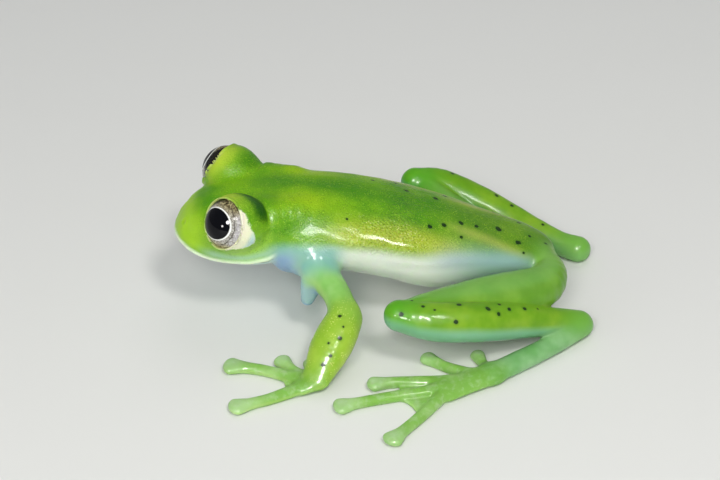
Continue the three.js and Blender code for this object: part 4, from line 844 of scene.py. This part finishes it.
m.bsdf.inputs["IOR"].default_value = 1.40
m.bsdf.inputs["Specular IOR Level"].default_value = 0.25
m.put(m.bsdf.inputs["Coat Weight"], m.attr("gloss"))
m.bsdf.inputs["Coat Roughness"].default_value = 0.13
skin_mesh.materials.append(m.mat)

FLESH = ["head", "trunk"] + [f"{n}_{s}" for s in SIDES for n in ("upper_arm", "forearm", "hand", "thigh", "shank", "tarsus", "foot")]
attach(skin, "root")
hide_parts(*FLESH)


# ---------------------------------------------------------------- eyes
PUPIL_LONG, PUPIL_HIGH = 1.06, 0.92          # half sizes of the pupil on the ball
CORNEA_ALONG, CORNEA_RADIUS = 0.28, 1.54     # the clear front bulges out of the ball
RINGS, SPOKES = 90, 144


def eye_ball(side):
    e = EYES[side]
    pts, faces, attrs = [], [], {"pupil": [], "iris_top": [], "iris_edge": [], "iris_tail": [], "iris_painted_dark": []}

    def add(t, p):
        st, ct = math.sin(t), math.cos(t)
        u, v = st * math.cos(p), st * math.sin(p)
        clear = CORNEA_ALONG * ct + math.sqrt(CORNEA_RADIUS ** 2 - (CORNEA_ALONG * st) ** 2)
        k = 0.5 * (clear + EYE_RADIUS + math.sqrt((clear - EYE_RADIUS) ** 2 + 0.0006))
        q = e["c"] + k * (e["gaze"] * ct + e["level"] * u + e["rise"] * v)
        pts.append(q)
        ru, rv = EYE_RADIUS * u, EYE_RADIUS * v
        s = math.hypot(ru / PUPIL_LONG, rv / PUPIL_HIGH)
        attrs["pupil"].append(s)
        attrs["iris_top"].append(rv / OPENING_RADIUS)
        attrs["iris_edge"].append(math.hypot(ru, rv) / OPENING_RADIUS)
        attrs["iris_tail"].append(ru * SIDES[side] / OPENING_RADIUS)
        ahead, edge = attrs["iris_top"][-1] - attrs["iris_tail"][-1], attrs["iris_edge"][-1]
        wide = side == "right"                           # the right eye gets the larger painted dark front corner: painted shade for the black seen edge-on through the clear front
        attrs["iris_painted_dark"].append(float(smooth(0.80, 1.06, ahead) * smooth(0.62, 0.74, edge) if wide else smooth(1.04, 1.26, ahead) * smooth(0.76, 0.85, edge)))

    add(0, 0)
    T_END = 1.75
    for i in range(1, RINGS + 1):
        for j in range(SPOKES):
            add(T_END * i / RINGS, 2 * math.pi * j / SPOKES)
    for j in range(SPOKES):
        faces.append((0, 1 + j, 1 + (j + 1) % SPOKES))
    for i in range(RINGS - 1):
        for j in range(SPOKES):
            a, b = 1 + i * SPOKES + j, 1 + i * SPOKES + (j + 1) % SPOKES
            faces.append((a, a + SPOKES, b + SPOKES, b))
    last = [1 + (RINGS - 1) * SPOKES + j for j in range(SPOKES)]
    faces.append(tuple(reversed(last)))
    me = bpy.data.meshes.new(f"eyeball_{side}")
    me.from_pydata([tuple((p - ORIGIN) * MM) for p in pts], [], faces)
    me.shade_smooth()
    for k, v in attrs.items():
        a = me.attributes.new(k, "FLOAT", "POINT")
        a.data.foreach_set("value", np.array(v, np.float32))
    me.update()
    ob = bpy.data.objects.new(f"eyeball_{side}", me)
    bpy.context.scene.collection.objects.link(ob)
    return ob


eye = Nodes("frog_eye")
net = eye.ramp(eye.cells(7800, "DISTANCE_TO_EDGE"), 0.12, 0.02)
net2 = eye.math("MULTIPLY", eye.ramp(eye.noise(7200, 5.0, 0.75), 0.50, 0.64), 0.9)
top, tail = eye.attr("iris_top"), eye.attr("iris_tail")
silver = eye.mix(eye.ramp(eye.noise(5200, 4.0, 0.7), 0.38, 0.64), srgb(166, 164, 156), srgb(226, 226, 220))
ochre = eye.mix(eye.ramp(eye.noise(5200, 4.0, 0.7), 0.38, 0.64), srgb(122, 104, 40), srgb(196, 184, 110))
gilt = eye.math("MAXIMUM", eye.ramp(top, 0.30, 0.90), eye.ramp(top, -0.52, -0.92))
iris = eye.mix(eye.math("MULTIPLY", gilt, 0.8), silver, ochre)
web = eye.math("MULTIPLY", eye.math("MAXIMUM", net, net2), 0.74)
iris = eye.mix(web, iris, srgb(60, 46, 34))
outer = eye.math("MULTIPLY", eye.math("MULTIPLY", eye.math("MULTIPLY", eye.ramp(eye.attr("iris_edge"), 0.86, 0.93), eye.ramp(tail, 0.55, 0.80)), eye.ramp(eye.noise(6000, 3.0), 0.30, 0.60)), 0.55)
iris = eye.mix(outer, iris, srgb(198, 194, 206))
line = eye.math("ADD", eye.attr("iris_edge"), eye.math("MULTIPLY", eye.math("SUBTRACT", eye.noise(3000), 0.5), 0.08))
line = eye.math("MULTIPLY", eye.math("MULTIPLY", eye.ramp(line, 0.82, 0.845), eye.ramp(line, 0.875, 0.85)), eye.ramp(tail, 0.0, 0.5))
iris = eye.mix(eye.math("MULTIPLY", line, 0.75), iris, srgb(52, 40, 40))
blots = eye.math("MULTIPLY", eye.ramp(top, 0.60, 0.92), eye.ramp(eye.noise(4200, 4.0, 0.7), 0.42, 0.56))
iris = eye.mix(eye.math("MULTIPLY", blots, 0.9), iris, srgb(26, 20, 10))
# painted shade: the iris's front corner is painted near black, standing for the black seen edge-on through the clear
# front
front = eye.attr("iris_painted_dark")
iris = eye.mix(eye.math("MULTIPLY", front, 0.96), iris, srgb(10, 10, 10))
white_ring = eye.math("MULTIPLY", eye.ramp(eye.attr("pupil"), 1.00, 1.02), eye.ramp(eye.attr("pupil"), 1.10, 1.055))
iris = eye.mix(white_ring, iris, srgb(242, 244, 240))
ball_col = eye.mix(eye.ramp(eye.attr("pupil"), 1.01, 0.985), iris, srgb(6, 7, 12))
eye.put(eye.bsdf.inputs["Base Color"], ball_col)
eye.bsdf.inputs["Roughness"].default_value = 0.45
eye.bsdf.inputs["Specular IOR Level"].default_value = 0.0
eye.bsdf.inputs["IOR"].default_value = 1.38
eye.bsdf.inputs["Coat Weight"].default_value = 0.7
eye.bsdf.inputs["Coat IOR"].default_value = 1.34
eye.bsdf.inputs["Coat Roughness"].default_value = 0.02
for side in SIDES:
    ball = eye_ball(side)
    ball.data.materials.append(eye.mat)
    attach(ball, "root")
    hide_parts(f"eye_{side}")

# ---------------------------------------------------------------- floor and light
floor_mesh = bpy.data.meshes.new("floor")
S = 1.2
floor_mesh.from_pydata([(-S, -S, 0), (S, -S, 0), (S, S, 0), (-S, S, 0)], [], [(0, 1, 2, 3)])
floor = bpy.data.objects.new("floor", floor_mesh)
bpy.context.scene.collection.objects.link(floor)
fl = Nodes("floor_plain")
fl.put(fl.bsdf.inputs["Base Color"], srgb(226, 227, 224))
fl.bsdf.inputs["Roughness"].default_value = 0.7
floor_mesh.materials.append(fl.mat)

world = bpy.data.worlds.new("studio")
bpy.context.scene.world = world
world.use_nodes = True
world.node_tree.nodes["Background"].inputs[0].default_value = (0.93, 0.95, 1.0, 1)
world.node_tree.nodes["Background"].inputs[1].default_value = 0.27
bpy.context.scene.view_settings.view_transform = "Standard"


def lamp(name, azimuth, rise, distance, size, power, colour=(1, 1, 1), glint=True, fills=True):
    """A round soft lamp; azimuth 0 is the camera's side, towards the tail is positive."""
    d = bpy.data.lights.new(name, "AREA")
    d.shape, d.size, d.energy, d.color = "DISK", size, power, colour
    o = bpy.data.objects.new(name, d)
    az, el = math.radians(azimuth), math.radians(rise)
    o.location = Vector((math.cos(az) * math.cos(el), math.sin(az) * math.cos(el), math.sin(el))) * distance + Vector((0, 0, 0.004))
    o.rotation_euler = (Vector((0, 0, 0.004)) - o.location).to_track_quat("-Z", "Y").to_euler()
    o.visible_glossy, o.visible_diffuse = glint, fills
    bpy.context.scene.collection.objects.link(o)


lamp("key", -10, 38, 0.22, 0.080, 0.22, (1.0, 0.985, 0.95), glint=False)
lamp("catch", -12, 38, 0.22, 0.062, 0.95, (1.0, 0.99, 0.97), fills=False)
lamp("second", 24, 54, 0.22, 0.050, 0.18, (1.0, 0.985, 0.95))
lamp("low", -36, 17, 0.22, 0.034, 0.16, (1.0, 0.985, 0.95), fills=False)
lamp("fill", -60, 25, 0.25, 0.16, 0.05, (0.96, 0.98, 1.0), glint=False)
lamp("rear", 160, 60, 0.24, 0.16, 0.07, glint=False)

bpy.context.view_layer.update()
